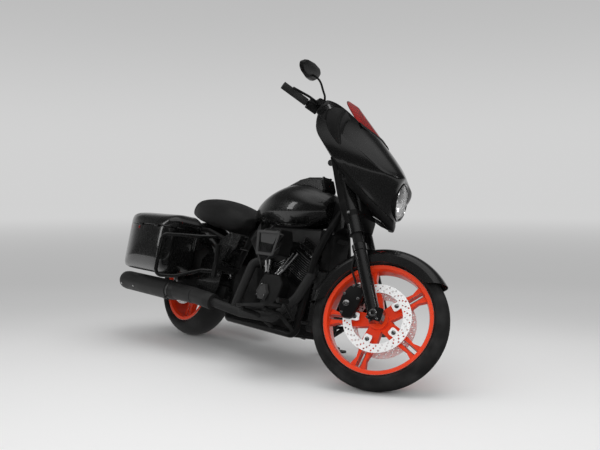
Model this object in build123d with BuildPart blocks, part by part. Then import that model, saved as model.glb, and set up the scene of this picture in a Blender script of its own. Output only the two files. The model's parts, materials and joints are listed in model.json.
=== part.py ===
from build123d import *
from math import atan, atan2, cos, degrees, radians, sin, sqrt, tan
import os

os.makedirs("parts", exist_ok=True)

# A touring cruiser motorcycle with a fork-mounted fairing, a narrow-angle V-twin and hard
# saddlebags, in millimetres. It is modelled upright: +X forward, +Y to the rider's left, +Z up,
# with the origin where the rear tyre touches the floor. At the end every piece is set in the
# parked stance: steering on its left stop, leaning on the side stand, both tyres on the floor.

# ---------------------------------------------------------------- driving dimensions
wheelbase = 1625.0
rake = 26.0                   # steering axis, from the vertical
trail = 170.0
fork_rake = 29.25             # fork legs, from the vertical
lean = 12.8
steer_stop = 32.6             # to each side
running_gap = 0.05            # radial play of a shaft in its bore
wheel_gap = 6.0               # between a wheel and what holds it

front_radius = 319.3
front_width = 130.0
front_crown = 67.0
front_bead = 241.3
front_flange = 257.0
front_rim_width = 104.0
rear_radius = 327.6
rear_width = 180.0
rear_crown = 105.0
rear_bead = 228.6
rear_flange = 245.0
rear_rim_width = 150.0
spoke_count = 5
axle_radius = 12.5

fork_spread = 122.0           # each leg from the middle
slider_radius = 30.0
fork_tube_radius = 24.5
cover_radius = 36.0
head_low = 790.0              # steering head, heights of its ends
head_high = 955.0
head_radius = 33.0
stem_radius = 16.0
clamp_thick = 26.0

frame_tube = 19.0             # radii of the frame tubes
backbone_tube = 26.0
subframe_tube = 15.0
cradle_half = 120.0           # cradle tubes from the middle
cradle_height = 172.0
upright_half = 72.0           # the frame's rear uprights from the middle
cradle_front = 1175.0
cradle_rear = 560.0

crank_x = 985.0
crank_z = 325.0
cylinder_tilt = 22.5          # each cylinder from the vertical
deck = 118.0                  # from the crank to the foot of a barrel
fin_count = 10
fin_pitch = 10.5
fin_thick = 4.0
fin_width = 158.0
fin_depth = 176.0
head_block = 62.0

bag_rear = -430.0
bag_front = 252.0
bag_in = 198.0                # beside the shock absorbers
bag_out = 430.0
bag_low = 344.0
bag_top = 610.0
bag_wall = 4.0
lid_height = 88.0
lid_gap = 2.0
muffler_radius = 58.0
muffler_rear = -446.0
muffler_y = 266.0
muffler_z = 258.0

# ---------------------------------------------------------------- places worked out from them
rear_axle_at = Vector(0, 0, rear_radius)
front_axle_at = Vector(wheelbase, 0, front_radius)
steer_up = Vector(-sin(radians(rake)), 0, cos(radians(rake)))
fork_up = Vector(-sin(radians(fork_rake)), 0, cos(radians(fork_rake)))
crank_at = Vector(crank_x, 0, crank_z)


def steer_point(z):
    """The point of the steering axis at height z."""
    return Vector(wheelbase + trail - z * tan(radians(rake)), 0, z)


def fork_point(along, y=0.0):
    """A point on a fork leg's axis, a distance up from the wheel axle."""
    return front_axle_at + fork_up * along + Vector(0, y, 0)


def side(x=0.0, z=0.0, y=0.0):
    """A side-view plane: local x forward, local y up, facing the rider's right."""
    return Plane(origin=(x, y, z), x_dir=(1, 0, 0), z_dir=(0, -1, 0))


def across(x, z=0.0, y=0.0):
    """A plane across the machine: local x to the left, local y up, facing forward."""
    return Plane(origin=(x, y, z), x_dir=(0, 1, 0), z_dir=(1, 0, 0))


def bend_radii(points, bend):
    """One radius for each corner, no larger than the runs beside it leave room for."""
    stops = [Vector(*point) for point in points]
    radii = []
    for before, corner, after in zip(stops, stops[1:], stops[2:]):
        half_turn = radians((corner - before).get_angle(after - corner)) / 2
        room = 0.45 * min((corner - before).length, (after - corner).length)
        radii.append(min(bend, room / tan(half_turn)))
    return radii


def tube(points, radius, bend):
    """Add a round tube along straight runs joined by bends."""
    with BuildLine() as run:
        FilletPolyline(*points, radius=bend_radii(points, bend))
    with BuildSketch(Plane(origin=run.line @ 0, z_dir=run.line % 0)) as ring:
        Circle(radius)
    sweep(sections=ring.sketch, path=run.line)


def rod(start, end, radius, mode=Mode.ADD):
    """Add or cut a straight round bar between two points."""
    run = Vector(*end) - Vector(*start)
    with BuildSketch(Plane(origin=start, z_dir=run)) as ring:
        Circle(radius)
    extrude(ring.sketch, amount=run.length, mode=mode)


def slab(plane, points, amount, mode=Mode.ADD, both=False, round_off=0.0):
    """Add or cut a plate whose outline is a closed run of straight edges."""
    with BuildSketch(plane) as outline:
        with BuildLine():
            Polyline(*points, close=True)
        make_face()
        if round_off:
            fillet(outline.vertices(), radius=round_off)
    extrude(outline.sketch, amount=amount, both=both, mode=mode)


def block(plane, width, height, depth, corner, mode=Mode.ADD):
    """Add or cut a rounded rectangle, centred on a plane and pushed out of it."""
    with BuildSketch(plane) as outline:
        RectangleRounded(width, height, corner)
    extrude(outline.sketch, amount=depth, mode=mode)


# ---------------------------------------------------------------- the parked stance


def lowest(centre, spin, radius, crown):
    """Height of the lowest point of a tyre whose tread is a torus."""
    return centre.Z - (radius - crown) * sqrt(1 - spin.Z ** 2) - crown


steer_axis = Axis(steer_point(0), steer_up)
turned_axle = Vertex(front_axle_at).rotate(steer_axis, steer_stop).center()
turned_spin = Vector(0, 1, 0).rotate(Axis((0, 0, 0), steer_up), steer_stop)
pitch = 0.0
for _ in range(6):
    attitude = Location((0, 0, 0), (0, pitch, 0)) * Location((0, 0, 0), (-lean, 0, 0))
    frame_of = Plane(attitude)
    spin_rear = frame_of.y_dir
    spin_front = frame_of.from_local_coords(turned_spin) - frame_of.origin
    rear_low = lowest(frame_of.from_local_coords(rear_axle_at), spin_rear, rear_radius,
                      rear_crown)
    front_low = lowest(frame_of.from_local_coords(turned_axle), spin_front, front_radius,
                       front_crown)
    pitch += degrees(atan((front_low - rear_low) / wheelbase))
stance = Location((0, 0, -rear_low)) * attitude

stand_pivot = Vector(crank_x - 85, cradle_half + 46, cradle_height - 8)
foot_at = Vector(crank_x - 30, 400, 0)      # on the floor, in the parked stance
parked = Plane(stance)
foot = parked.to_local_coords(foot_at)
floor_up = parked.to_local_coords(foot_at + Vector(0, 0, 1)) - foot
folded_foot = stand_pivot + Vector(-252, 58, -34)
down_run = foot - stand_pivot
folded_run = folded_foot - stand_pivot
stand_hinge = down_run.cross(folded_run).normalized()
stand_leg = 11.0
foot_thick = 8.0

pieces = []


def finish(piece, label, body):
    """Label a finished sub-part and keep it with the body that it moves with."""
    piece.part.label = label
    pieces.append((piece.part, body))


# ---------------------------------------------------------------- wheels
rim_lip = 8.0
rim_skin = 10.0
hub_radius = 47.0
spoke_thick = 34.0
spoke_angle = 46.0            # first spoke, up from straight ahead
hub_half = 46.0
rotor_thick = 5.0
front_rotor_y = 61.0          # middle of each front disc
front_rotor_radius = 159.0
rotor_ring = 38.0             # width of a disc's braking band
lug_circle = 104.0
rear_rotor_y = 96.0
rear_rotor_radius = 146.0

# name, axle, tyre radius, tyre width, crown radius, bead radius, flange radius, rim width
wheels = (
    ("front", front_axle_at, front_radius, front_width, front_crown, front_bead, front_flange,
     front_rim_width),
    ("rear", rear_axle_at, rear_radius, rear_width, rear_crown, rear_bead, rear_flange,
     rear_rim_width),
)

for name, axle, radius, width, crown, bead, flange, rim_width in wheels:
    spin = Axis(axle, (0, 1, 0))
    body = name + "_wheel"
    lip_half = rim_width / 2
    seat_half = lip_half - rim_lip
    shoulder = min(0.93 * width / 2, crown * 0.93)
    shoulder_at = radius - crown + sqrt(crown ** 2 - shoulder ** 2)
    with BuildPart() as tyre:
        with BuildSketch(across(axle.X, axle.Z)):
            with BuildLine():
                ThreePointArc((shoulder, shoulder_at), (0, radius), (-shoulder, shoulder_at))
                ThreePointArc((-shoulder, shoulder_at), (-width / 2, (shoulder_at + flange) / 2),
                              (-lip_half, flange + 3))
                Polyline((-lip_half, flange + 3), (-seat_half, flange + 3), (-seat_half, bead),
                         (seat_half, bead), (seat_half, flange + 3), (lip_half, flange + 3))
                ThreePointArc((lip_half, flange + 3), (width / 2, (shoulder_at + flange) / 2),
                              (shoulder, shoulder_at))
            make_face()
        revolve(axis=spin)
    finish(tyre, name + "_tyre", body)

    rim_inner = bead - rim_skin
    with BuildPart() as wheel:
        with BuildSketch(across(axle.X, axle.Z)):
            with BuildLine():
                Polyline((rim_width / 2, flange), (seat_half, flange), (seat_half, bead),
                         (-seat_half, bead), (-seat_half, flange), (-rim_width / 2, flange),
                         (-rim_width / 2, bead - 4), (-seat_half + 12, rim_inner),
                         (seat_half - 12, rim_inner), (rim_width / 2, bead - 4), close=True)
            make_face()
        revolve(axis=spin)
        with BuildSketch(side(axle.X, axle.Z, hub_half)):
            Circle(hub_radius)
        extrude(amount=2 * hub_half)
        with BuildSketch(mode=Mode.PRIVATE) as spoke:
            with BuildLine():
                Polyline((hub_radius - 12, -30), (lug_circle, -36), (rim_inner - 40, -25),
                         (rim_inner + 4, -40), (rim_inner + 4, 40), (rim_inner - 40, 25),
                         (lug_circle, 36), (hub_radius - 12, 30), close=True)
            make_face()
        with BuildSketch(side(axle.X, axle.Z, spoke_thick / 2)):
            with PolarLocations(0, spoke_count, start_angle=spoke_angle):
                add(spoke.sketch)
        extrude(amount=spoke_thick)
        with BuildSketch(side(axle.X, axle.Z, spoke_thick / 2)):
            with PolarLocations(0, spoke_count, start_angle=spoke_angle):
                with Locations(((lug_circle + rim_inner) / 2 + 12, 0)):
                    SlotOverall(rim_inner - lug_circle - 26, 17)
        extrude(amount=spoke_thick, mode=Mode.SUBTRACT)
        lug_half = front_rotor_y - rotor_thick / 2
        if name == "front":
            with BuildSketch(side(axle.X, axle.Z, lug_half)):
                with PolarLocations(lug_circle, spoke_count, start_angle=spoke_angle):
                    Circle(15)
            extrude(amount=2 * lug_half)
        else:
            with BuildSketch(side(axle.X, axle.Z, rear_rotor_y - rotor_thick / 2)):
                Circle(hub_radius + 18)
            extrude(amount=2 * rear_rotor_y - rotor_thick)
        with BuildSketch(side(axle.X, axle.Z, rear_rotor_y)):
            Circle(axle_radius + running_gap)
        extrude(amount=2 * rear_rotor_y, mode=Mode.SUBTRACT)
    finish(wheel, name + "_wheel", body)


def disc(axle, y, radius, hole):
    """Add a brake disc with its inward lugs, its middle plane at y."""
    with BuildSketch(side(axle.X, axle.Z, y + rotor_thick / 2)) as ring:
        Circle(radius)
        Circle(radius - rotor_ring, mode=Mode.SUBTRACT)
        with PolarLocations(lug_circle + 10, spoke_count, start_angle=spoke_angle):
            SlotOverall(62, 34)
        with PolarLocations(lug_circle, spoke_count, start_angle=spoke_angle):
            Circle(hole, mode=Mode.SUBTRACT)
    extrude(ring.sketch, amount=rotor_thick)


with BuildPart() as front_rotors:
    for y in (-front_rotor_y, front_rotor_y):
        disc(front_axle_at, y, front_rotor_radius, 5)
finish(front_rotors, "front_rotors", "front_wheel")

with BuildPart() as rear_rotor:
    with BuildSketch(side(0, rear_radius, -rear_rotor_y + rotor_thick / 2)):
        Circle(rear_rotor_radius)
        Circle(axle_radius + 8, mode=Mode.SUBTRACT)
    extrude(amount=rotor_thick)
finish(rear_rotor, "rear_rotor", "rear_wheel")

pulley_radius = 112.0
pulley_width = 28.0
with BuildPart() as rear_pulley:
    with BuildSketch(side(0, rear_radius, rear_rotor_y - rotor_thick / 2 + pulley_width)):
        Circle(pulley_radius)
        Circle(axle_radius + 8, mode=Mode.SUBTRACT)
    extrude(amount=pulley_width)
finish(rear_pulley, "rear_pulley", "rear_wheel")

# ---------------------------------------------------------------- frame
rail_half = 150.0
rail_height = 640.0
neck_joint = steer_point(870)
tank_tunnel = backbone_tube + 8   # half width of the tunnel that the tank straddles it with
tank_tail = 562.0
with BuildPart() as frame:
    rod(steer_point(head_low), steer_point(head_high), head_radius)
    tube([(neck_joint.X - 8, 0, 868), (1180, 0, 792), (640, 0, 748), (505, 0, 640)],
         backbone_tube, 70)
    for sign in (-1, 1):
        tube([(1240, sign * 16, 812), (1222, sign * 62, 700),
              (cradle_front + 38, sign * (cradle_half - 8), 560),
              (cradle_front, sign * cradle_half, cradle_height),
              (cradle_rear, sign * cradle_half, cradle_height),
              (cradle_rear - 52, sign * upright_half, 270), (500, sign * upright_half, 470),
              (520, sign * 12, 680)], frame_tube, 45)
        tube([(506, sign * upright_half, 500), (420, sign * 130, 600),
              (250, sign * rail_half, rail_height), (-300, sign * rail_half, rail_height)],
             subframe_tube, 60)
        for x in (-200, 20):
            tube([(x, sign * rail_half, rail_height), (x, sign * rail_half, 570),
                  (x, sign * bag_in, 570)], 9, 16)
    for x, z in ((1120, 786), (700, 752)):
        rod((x, -tank_tunnel, z), (x, tank_tunnel, z), 9)
    for x, z in ((cradle_rear + 40, cradle_height), (cradle_front - 60, cradle_height)):
        rod((x, -cradle_half, z), (x, cradle_half, z), frame_tube - 4)
    rod((-290, -rail_half, rail_height), (-290, rail_half, rail_height), subframe_tube - 3)
    rod(steer_point(head_low - 40), steer_point(head_high + 40), stem_radius + running_gap,
        Mode.SUBTRACT)
    # the side stand's bracket: two ears under the left rail and the pivot pin through them
    for sign in (-1, 1):
        ear_at = stand_pivot + stand_hinge * (sign * 21 - 5)
        with BuildSketch(Plane(origin=ear_at, x_dir=(1, 0, 0), z_dir=stand_hinge)) as ear:
            Circle(18)
            with Locations((0, -15)):
                Rectangle(36, 30)
        extrude(ear.sketch, amount=10)
    rod(stand_pivot - stand_hinge * 26, stand_pivot + stand_hinge * 26, 8)
finish(frame, "frame", "chassis")

# ---------------------------------------------------------------- engine
case_half = 118.0
case_low = 196.0
case_outline = (
    (crank_x + 150, case_low), (crank_x + 172, 300), (crank_x + 150, 395), (crank_x + 108, 430),
    (crank_x - 4, 470), (crank_x - 120, 425), (crank_x - 180, 470), (crank_x - 380, 470),
    (crank_x - 424, 400), (crank_x - 424, 250), (crank_x - 330, case_low),
)


def cylinder_plane(tilt, height=0.0, y=0.0):
    """A plane across a cylinder: local x forward, local y left, facing up the bore."""
    lean_x = sin(radians(tilt))
    lean_z = cos(radians(tilt))
    foot = crank_at + Vector(lean_x, 0, lean_z) * height + Vector(0, y, 0)
    return Plane(origin=foot, x_dir=(lean_z, 0, -lean_x), z_dir=(lean_x, 0, lean_z))


barrel_top = deck + fin_count * fin_pitch
head_top = barrel_top + head_block
with BuildPart() as engine_cases:
    slab(side(0, 0, case_half), case_outline, 2 * case_half, round_off=18)
    for tilt in (-cylinder_tilt, cylinder_tilt):
        block(cylinder_plane(tilt, deck), fin_width + 30, 2 * case_half + 20, 120, 4,
              Mode.SUBTRACT)
    for x in (cradle_front - 60, cradle_rear + 40):
        block(side(x, case_low - 6, cradle_half - 12), 44, 40, 2 * cradle_half - 24, 6)
    add(frame.part, mode=Mode.SUBTRACT)
finish(engine_cases, "engine_cases", "chassis")

for name, tilt in (("front", cylinder_tilt), ("rear", -cylinder_tilt)):
    with BuildPart() as cylinder:
        block(cylinder_plane(tilt, deck), 112, 128, barrel_top - deck, 30)
        for fin in range(fin_count):
            block(cylinder_plane(tilt, deck + 5 + fin * fin_pitch), fin_width, fin_depth,
                  fin_thick, 34)
        block(cylinder_plane(tilt, barrel_top), 126, 150, head_block, 26)
        for fin in range(4):
            block(cylinder_plane(tilt, barrel_top + 6 + fin * 12.0), fin_width + 6,
                  fin_depth + 10, fin_thick, 30)
        port = 1 if tilt > 0 else -1
        rod((crank_x + port * 118, -36, crank_z + 226),
            (crank_x + port * 186, -60, crank_z + 198), 24)
        add(engine_cases.part, mode=Mode.SUBTRACT)
        split(bisect_by=Plane(origin=(crank_x + 1.5 * port, 0, 0), z_dir=(port, 0, 0)),
              keep=Keep.TOP)
    finish(cylinder, name + "_cylinder", "chassis")
    if name == "front":
        front_cylinder = cylinder
    else:
        rear_cylinder = cylinder

rocker_height = 58.0
with BuildPart() as rocker_covers:
    for tilt in (-cylinder_tilt, cylinder_tilt):
        block(cylinder_plane(tilt, head_top), 150, 178, 24, 24)
        block(cylinder_plane(tilt, head_top + 24), 134, 160, rocker_height - 24, 20)
finish(rocker_covers, "rocker_covers", "chassis")

cover_thick = 54.0
cam_x = crank_x - 22
with BuildPart() as cam_cover:
    with BuildSketch(side(0, 0, -case_half)) as outline:
        with BuildLine():
            Polyline((cam_x - 96, 400), (cam_x - 60, 448), (cam_x + 66, 452),
                     (cam_x + 108, 408), (cam_x + 84, 322), (cam_x + 10, 262),
                     (cam_x - 50, 282), close=True)
        make_face()
        fillet(outline.vertices(), radius=20)
    extrude(amount=cover_thick)
    fillet(cam_cover.faces().sort_by(Axis.Y)[0].edges(), radius=8)
finish(cam_cover, "cam_cover", "chassis")

timer_at = (crank_x - 62, 352)
with BuildPart() as timer_cover:
    with BuildSketch(side(timer_at[0], timer_at[1], -case_half - cover_thick)):
        Circle(46)
    extrude(amount=16)
    chamfer(timer_cover.faces().sort_by(Axis.Y)[0].edges(), length=4)
finish(timer_cover, "timer_cover", "chassis")

# cylinder, foot on the cam cover, top under the head, both in the plane of the rods
lifter_y = -(case_half + 26)
with BuildPart() as pushrod_tubes:
    for tilt, lifter_x in ((cylinder_tilt, cam_x + 28), (-cylinder_tilt, cam_x - 26)):
        for step in (-16, 16):
            top = cylinder_plane(tilt, barrel_top - 2).origin
            rod((lifter_x + step, lifter_y, 440),
                (top.X + step * 1.6 - 20 * sin(radians(tilt)), -fin_depth / 2 - 16, top.Z), 9.5)
            rod((lifter_x + step, lifter_y, 436), (lifter_x + step, lifter_y, 466), 14)
    for tilt in (-cylinder_tilt, cylinder_tilt):
        block(cylinder_plane(tilt, barrel_top - 4, -fin_depth / 2 - 20), 96, 40, 26, 10)
    add(cam_cover.part, mode=Mode.SUBTRACT)
    add(front_cylinder.part, mode=Mode.SUBTRACT)
    add(rear_cylinder.part, mode=Mode.SUBTRACT)
    add(engine_cases.part, mode=Mode.SUBTRACT)
finish(pushrod_tubes, "pushrod_tubes", "chassis")

clutch_at = (crank_x - 315, 318)
primary_thick = 72.0
with BuildPart() as primary_cover:
    with BuildSketch(side(0, 0, case_half + primary_thick)):
        with Locations((clutch_at[0], clutch_at[1])):
            Circle(122)
        with Locations((crank_x + 20, crank_z + 6)):
            Circle(104)
        make_hull()
    extrude(amount=primary_thick)
    fillet(primary_cover.faces().sort_by(Axis.Y)[-1].edges(), radius=22)
    with BuildSketch(side(clutch_at[0], clutch_at[1], case_half + primary_thick + 8)):
        Circle(76)
    extrude(amount=12)
finish(primary_cover, "primary_cover", "chassis")

# ---------------------------------------------------------------- air cleaner
air_at = (crank_x - 22, 604)
air_back_y = -152.0
air_thick = 84.0
with BuildPart() as air_cleaner:
    slab(side(0, 0, air_back_y),
         ((air_at[0] - 102, 652), (air_at[0] - 44, 676), (air_at[0] + 84, 680),
          (air_at[0] + 106, 606), (air_at[0] + 92, 548), (air_at[0] + 30, 518),
          (air_at[0] - 82, 528)), air_thick, round_off=18)
    chamfer(air_cleaner.faces().sort_by(Axis.Y)[0].edges(), length=13)
    with BuildSketch(side(crank_x, crank_z + 282, -20)):
        RectangleRounded(64, 56, 12)
    extrude(amount=-air_back_y - 20 + 4)
    with BuildSketch(side(crank_x, crank_z + 300, 46)):
        RectangleRounded(76, 60, 12)
    extrude(amount=70)
    add(front_cylinder.part, mode=Mode.SUBTRACT)
    add(rear_cylinder.part, mode=Mode.SUBTRACT)
    add(rocker_covers.part, mode=Mode.SUBTRACT)
    add(pushrod_tubes.part, mode=Mode.SUBTRACT)
finish(air_cleaner, "air_cleaner", "chassis")

# ---------------------------------------------------------------- exhaust
header_radius = 24.0
muffler_front = crank_x - 560
crossover_x = crank_x - 522
clamp_x = 170.0
shield_radius = 44.0          # heat shield over the last of the right header
with BuildPart() as exhaust_headers:
    tube([(crank_x + 184, -60, crank_z + 198), (crank_x + 222, -112, crank_z + 150),
          (crank_x + 206, -160, crank_z + 30), (crank_x + 96, -196, 236),
          (crank_x - 180, -204, 222), (crank_x - 420, -muffler_y, 250),
          (muffler_front, -muffler_y, muffler_z)], header_radius, 44)
    tube([(crank_x - 184, -60, crank_z + 198), (crank_x - 230, -150, crank_z + 170),
          (crank_x - 236, -192, 330), (crank_x - 250, -206, 226)], header_radius, 44)
    tube([(crank_x - 440, -muffler_y + 8, 250), (crossover_x, -190, 228),
          (crossover_x, 190, 228), (muffler_front, muffler_y, muffler_z)],
         header_radius - 4, 44)
    add(front_cylinder.part, mode=Mode.SUBTRACT)
    add(rear_cylinder.part, mode=Mode.SUBTRACT)
    add(engine_cases.part, mode=Mode.SUBTRACT)
    add(frame.part, mode=Mode.SUBTRACT)
finish(exhaust_headers, "exhaust_headers", "chassis")

with BuildPart() as mufflers:
    for sign in (-1, 1):
        with BuildSketch(side(0, muffler_z, sign * muffler_y)) as half_section:
            with BuildLine():
                Polyline((muffler_rear, 0), (muffler_rear, muffler_radius - 14),
                         (muffler_rear + 12, muffler_radius - 3),
                         (muffler_rear + 40, muffler_radius), (clamp_x - 14, muffler_radius),
                         (clamp_x - 6, muffler_radius - 8), (clamp_x + 14, muffler_radius - 8),
                         (clamp_x + 22, muffler_radius - 4), (clamp_x + 60, shield_radius + 2),
                         (muffler_front, shield_radius + 2), (muffler_front, 0), close=True)
            make_face()
        revolve(half_section.sketch, axis=Axis((0, sign * muffler_y, muffler_z), (1, 0, 0)))
        with BuildSketch(across(muffler_rear, muffler_z, sign * muffler_y)) as outlet:
            Circle(muffler_radius - 22)
        extrude(outlet.sketch, amount=60, mode=Mode.SUBTRACT)
    tube([(muffler_front - 4, -muffler_y, muffler_z), (crank_x - 420, -muffler_y, 250),
          (crank_x - 381, -256, 245.5)], shield_radius, 44)
    add(exhaust_headers.part, mode=Mode.SUBTRACT)
    add(frame.part, mode=Mode.SUBTRACT)
    add(engine_cases.part, mode=Mode.SUBTRACT)
finish(mufflers, "mufflers", "chassis")

# ---------------------------------------------------------------- swingarm, shocks, belt
arm_y = 140.0
arm_thick = 22.0
pivot_x = cradle_rear - 40
pivot_z = 300.0
with BuildPart() as swingarm:
    for sign in (-1, 1):
        arm_in = sign * arm_y + arm_thick / 2
        slab(side(0, 0, arm_in),
             ((pivot_x + 20, pivot_z - 34), (pivot_x + 20, pivot_z + 34), (300, 352),
              (60, rear_radius + 34), (-46, rear_radius + 26), (-46, rear_radius - 26),
              (60, rear_radius - 34), (300, 282)), arm_thick, round_off=8)
    block(side(405, 318, arm_y), 50, 60, 2 * arm_y, 10)
    rod((pivot_x, -arm_y, pivot_z), (pivot_x, arm_y, pivot_z), 16)
    rod((0, -arm_y - 30, rear_radius), (0, arm_y + 30, rear_radius), axle_radius, Mode.SUBTRACT)
    add(frame.part, mode=Mode.SUBTRACT)
    add(engine_cases.part, mode=Mode.SUBTRACT)
finish(swingarm, "swingarm", "chassis")

with BuildPart() as rear_axle:
    rod((0, -arm_y - 26, rear_radius), (0, arm_y + 26, rear_radius), axle_radius)
    for sign in (-1, 1):
        rod((0, sign * (arm_y + arm_thick / 2), rear_radius),
            (0, sign * (arm_y + arm_thick / 2 + 14), rear_radius), 20)
finish(rear_axle, "rear_axle", "chassis")

with BuildPart() as shocks:
    for sign in (-1, 1):
        shock_y = sign * (arm_y + 32)
        rod((92, shock_y, 342), (118, shock_y, 470), 20)
        rod((118, shock_y, 470), (140, shock_y, 612), 14)
        rod((92, sign * (arm_y + arm_thick / 2), 342), (92, shock_y, 342), 11)
        rod((140, sign * rail_half, rail_height - 20), (140, shock_y, rail_height - 20), 12)
    add(frame.part, mode=Mode.SUBTRACT)
finish(shocks, "shocks", "chassis")

sprocket_at = (crank_x - 385, crank_z)
sprocket_radius = 46.0
belt_wide = 22.0
belt_thick = 6.0
belt_room = 4.0               # the belt runs clear of the fender by this much
with BuildPart() as drive_belt:
    for grow, mode in ((belt_thick + 0.4, Mode.ADD), (0.4, Mode.SUBTRACT)):
        with BuildSketch(side(0, 0, rear_rotor_y + belt_wide)) as loop:
            with Locations((0, rear_radius)):
                Circle(pulley_radius + grow)
            with Locations(sprocket_at):
                Circle(sprocket_radius + grow)
            make_hull()
        extrude(loop.sketch, amount=belt_wide, mode=mode)
    add(engine_cases.part, mode=Mode.SUBTRACT)
    add(frame.part, mode=Mode.SUBTRACT)
finish(drive_belt, "drive_belt", "chassis")

# ---------------------------------------------------------------- rear fender and lamps
fender_out = 104.0
fender_rise = 48.0
with BuildPart() as rear_fender:
    with BuildSketch(across(0, rear_radius)):
        with BuildLine():
            Polyline((fender_out, 190), (fender_out, rear_radius))
            ThreePointArc((fender_out, rear_radius), (0, rear_radius + fender_rise),
                          (-fender_out, rear_radius))
            Polyline((-fender_out, rear_radius), (-fender_out, 190), (-fender_out + 4, 190),
                     (-fender_out + 4, rear_radius - 3))
            ThreePointArc((-fender_out + 4, rear_radius - 3), (0, rear_radius + fender_rise - 4),
                          (fender_out - 4, rear_radius - 3))
            Polyline((fender_out - 4, rear_radius - 3), (fender_out - 4, 190),
                     (fender_out, 190))
        make_face()
    revolve(axis=Axis((0, 0, rear_radius), (0, 1, 0)), revolution_arc=360)
    slab(side(0, rear_radius, 200), ((0, 0), (330, 46), (600, 46), (600, -600), (-600, -600),
                                     (-600, 20)), 400, Mode.SUBTRACT)
    slab(side(0, rear_radius, 200), ((0, 0), (280, 40), (280, 160), (-250, 190), (-290, -10)),
         400, Mode.SUBTRACT)
    for sign in (-1, 1):
        for x in (-60, 60):
            rod((x, sign * (fender_out - 3), rail_height), (x, sign * rail_half, rail_height), 9)
    with BuildSketch(side(0, 0, rear_rotor_y + belt_wide + belt_room)) as belt_path:
        with Locations((0, rear_radius)):
            Circle(pulley_radius + belt_thick + belt_room)
        with Locations(sprocket_at):
            Circle(sprocket_radius + belt_thick + belt_room)
        make_hull()
    extrude(belt_path.sketch, amount=belt_wide + 2 * belt_room, mode=Mode.SUBTRACT)
    add(frame.part, mode=Mode.SUBTRACT)
    add(shocks.part, mode=Mode.SUBTRACT)
finish(rear_fender, "rear_fender", "chassis")

# ---------------------------------------------------------------- tank and seat
# place along, lower edge, crest, widest half width
tank_stations = (
    (tank_tail, 736, 800, 56), (620, 722, 850, 94), (700, 716, 902, 124), (840, 713, 949, 150),
    (980, 716, 950, 156), (1110, 738, 916, 138), (1196, 776, 868, 84),
)
with BuildPart() as fuel_tank:
    for x, low, crest, half in tank_stations:
        rise = crest - low
        with BuildSketch(across(x)):
            with BuildLine():
                ThreePointArc((half * 0.72, low), (half, low + 0.42 * rise),
                              (half * 0.66, crest - 0.16 * rise))
                ThreePointArc((half * 0.66, crest - 0.16 * rise), (0, crest),
                              (-half * 0.66, crest - 0.16 * rise))
                ThreePointArc((-half * 0.66, crest - 0.16 * rise), (-half, low + 0.42 * rise),
                              (-half * 0.72, low))
                Line((-half * 0.72, low), (half * 0.72, low))
            make_face()
    loft()
    slab(side(0, 0, tank_tunnel), ((400, 600), (400, 790), (1180, 836), (1300, 880), (1300, 600)),
         2 * tank_tunnel, Mode.SUBTRACT)
    block(across(620, 700), 300, 26, 500, 8, Mode.SUBTRACT)
    add(rocker_covers.part, mode=Mode.SUBTRACT)
    add(frame.part, mode=Mode.SUBTRACT)
finish(fuel_tank, "fuel_tank", "chassis")

door_x = 990.0
door_long = 112.0
door_pin = Vector(door_x + door_long / 2 + 12, 0, 989)
with BuildPart() as tank_console:
    slab(side(0, 0, 46),
         ((640, 846), (760, 930), (880, 976), (960, 990), (1072, 986), (1104, 930), (1100, 860)),
         92, round_off=14)
    chamfer(tank_console.faces().sort_by(Axis.Y)[0].edges(), length=10)
    chamfer(tank_console.faces().sort_by(Axis.Y)[-1].edges(), length=10)
    block(Plane(origin=(door_x, 0, 981)), door_long + 12, 66, 40, 12, Mode.SUBTRACT)
    block(Plane(origin=(door_pin.X, 0, 981)), 26, 66, 40, 4, Mode.SUBTRACT)
    for sign in (-1, 1):
        block(Plane(origin=(door_pin.X, sign * 24, 976)), 14, 8, 20, 2)
    rod(door_pin - Vector(0, 28, 0), door_pin + Vector(0, 28, 0), 2.5)
    add(fuel_tank.part, mode=Mode.SUBTRACT)
finish(tank_console, "tank_console", "chassis")

with BuildPart() as coil_cover:
    block(across(755, 666), 110, 100, 400, 14)
    for hidden in (fuel_tank, rocker_covers, front_cylinder, rear_cylinder, air_cleaner, frame):
        add(hidden.part, mode=Mode.SUBTRACT)
finish(coil_cover, "coil_cover", "chassis")

# place along, lower edge, crest, widest half width
seat_stations = (
    (-190, 752, 800, 30), (-150, 735, 822, 52), (-90, 722, 838, 80), (0, 706, 846, 116),
    (100, 692, 850, 140), (200, 676, 846, 154), (330, 662, 826, 162), (430, 652, 796, 166),
    (520, 664, 762, 146), (tank_tail, 690, 752, 118),
)
with BuildPart() as seat:
    for x, low, crest, half in seat_stations:
        rise = crest - low
        with BuildSketch(across(x)):
            with BuildLine():
                ThreePointArc((half * 0.9, low), (half, low + 0.45 * rise),
                              (half * 0.72, crest - 0.12 * rise))
                ThreePointArc((half * 0.72, crest - 0.12 * rise), (0, crest),
                              (-half * 0.72, crest - 0.12 * rise))
                ThreePointArc((-half * 0.72, crest - 0.12 * rise), (-half, low + 0.45 * rise),
                              (-half * 0.9, low))
                Line((-half * 0.9, low), (half * 0.9, low))
            make_face()
    loft()
    block(across(470, 664), 2 * tank_tunnel, 132, 200, 10, Mode.SUBTRACT)
    add(frame.part, mode=Mode.SUBTRACT)
    add(rear_fender.part, mode=Mode.SUBTRACT)
finish(seat, "seat", "chassis")

with BuildPart() as fuel_door:
    block(Plane(origin=(door_x, 0, 983)), door_long, 60, 8, 10)
    block(Plane(origin=(door_pin.X - 9, 0, 985)), 16, 36, 6, 2)
    rod(door_pin - Vector(0, 18, 0), door_pin + Vector(0, 18, 0), 5)
    rod(door_pin - Vector(0, 30, 0), door_pin + Vector(0, 30, 0), 2.5 + running_gap,
        Mode.SUBTRACT)
finish(fuel_door, "fuel_door", "fuel_door")

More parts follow.
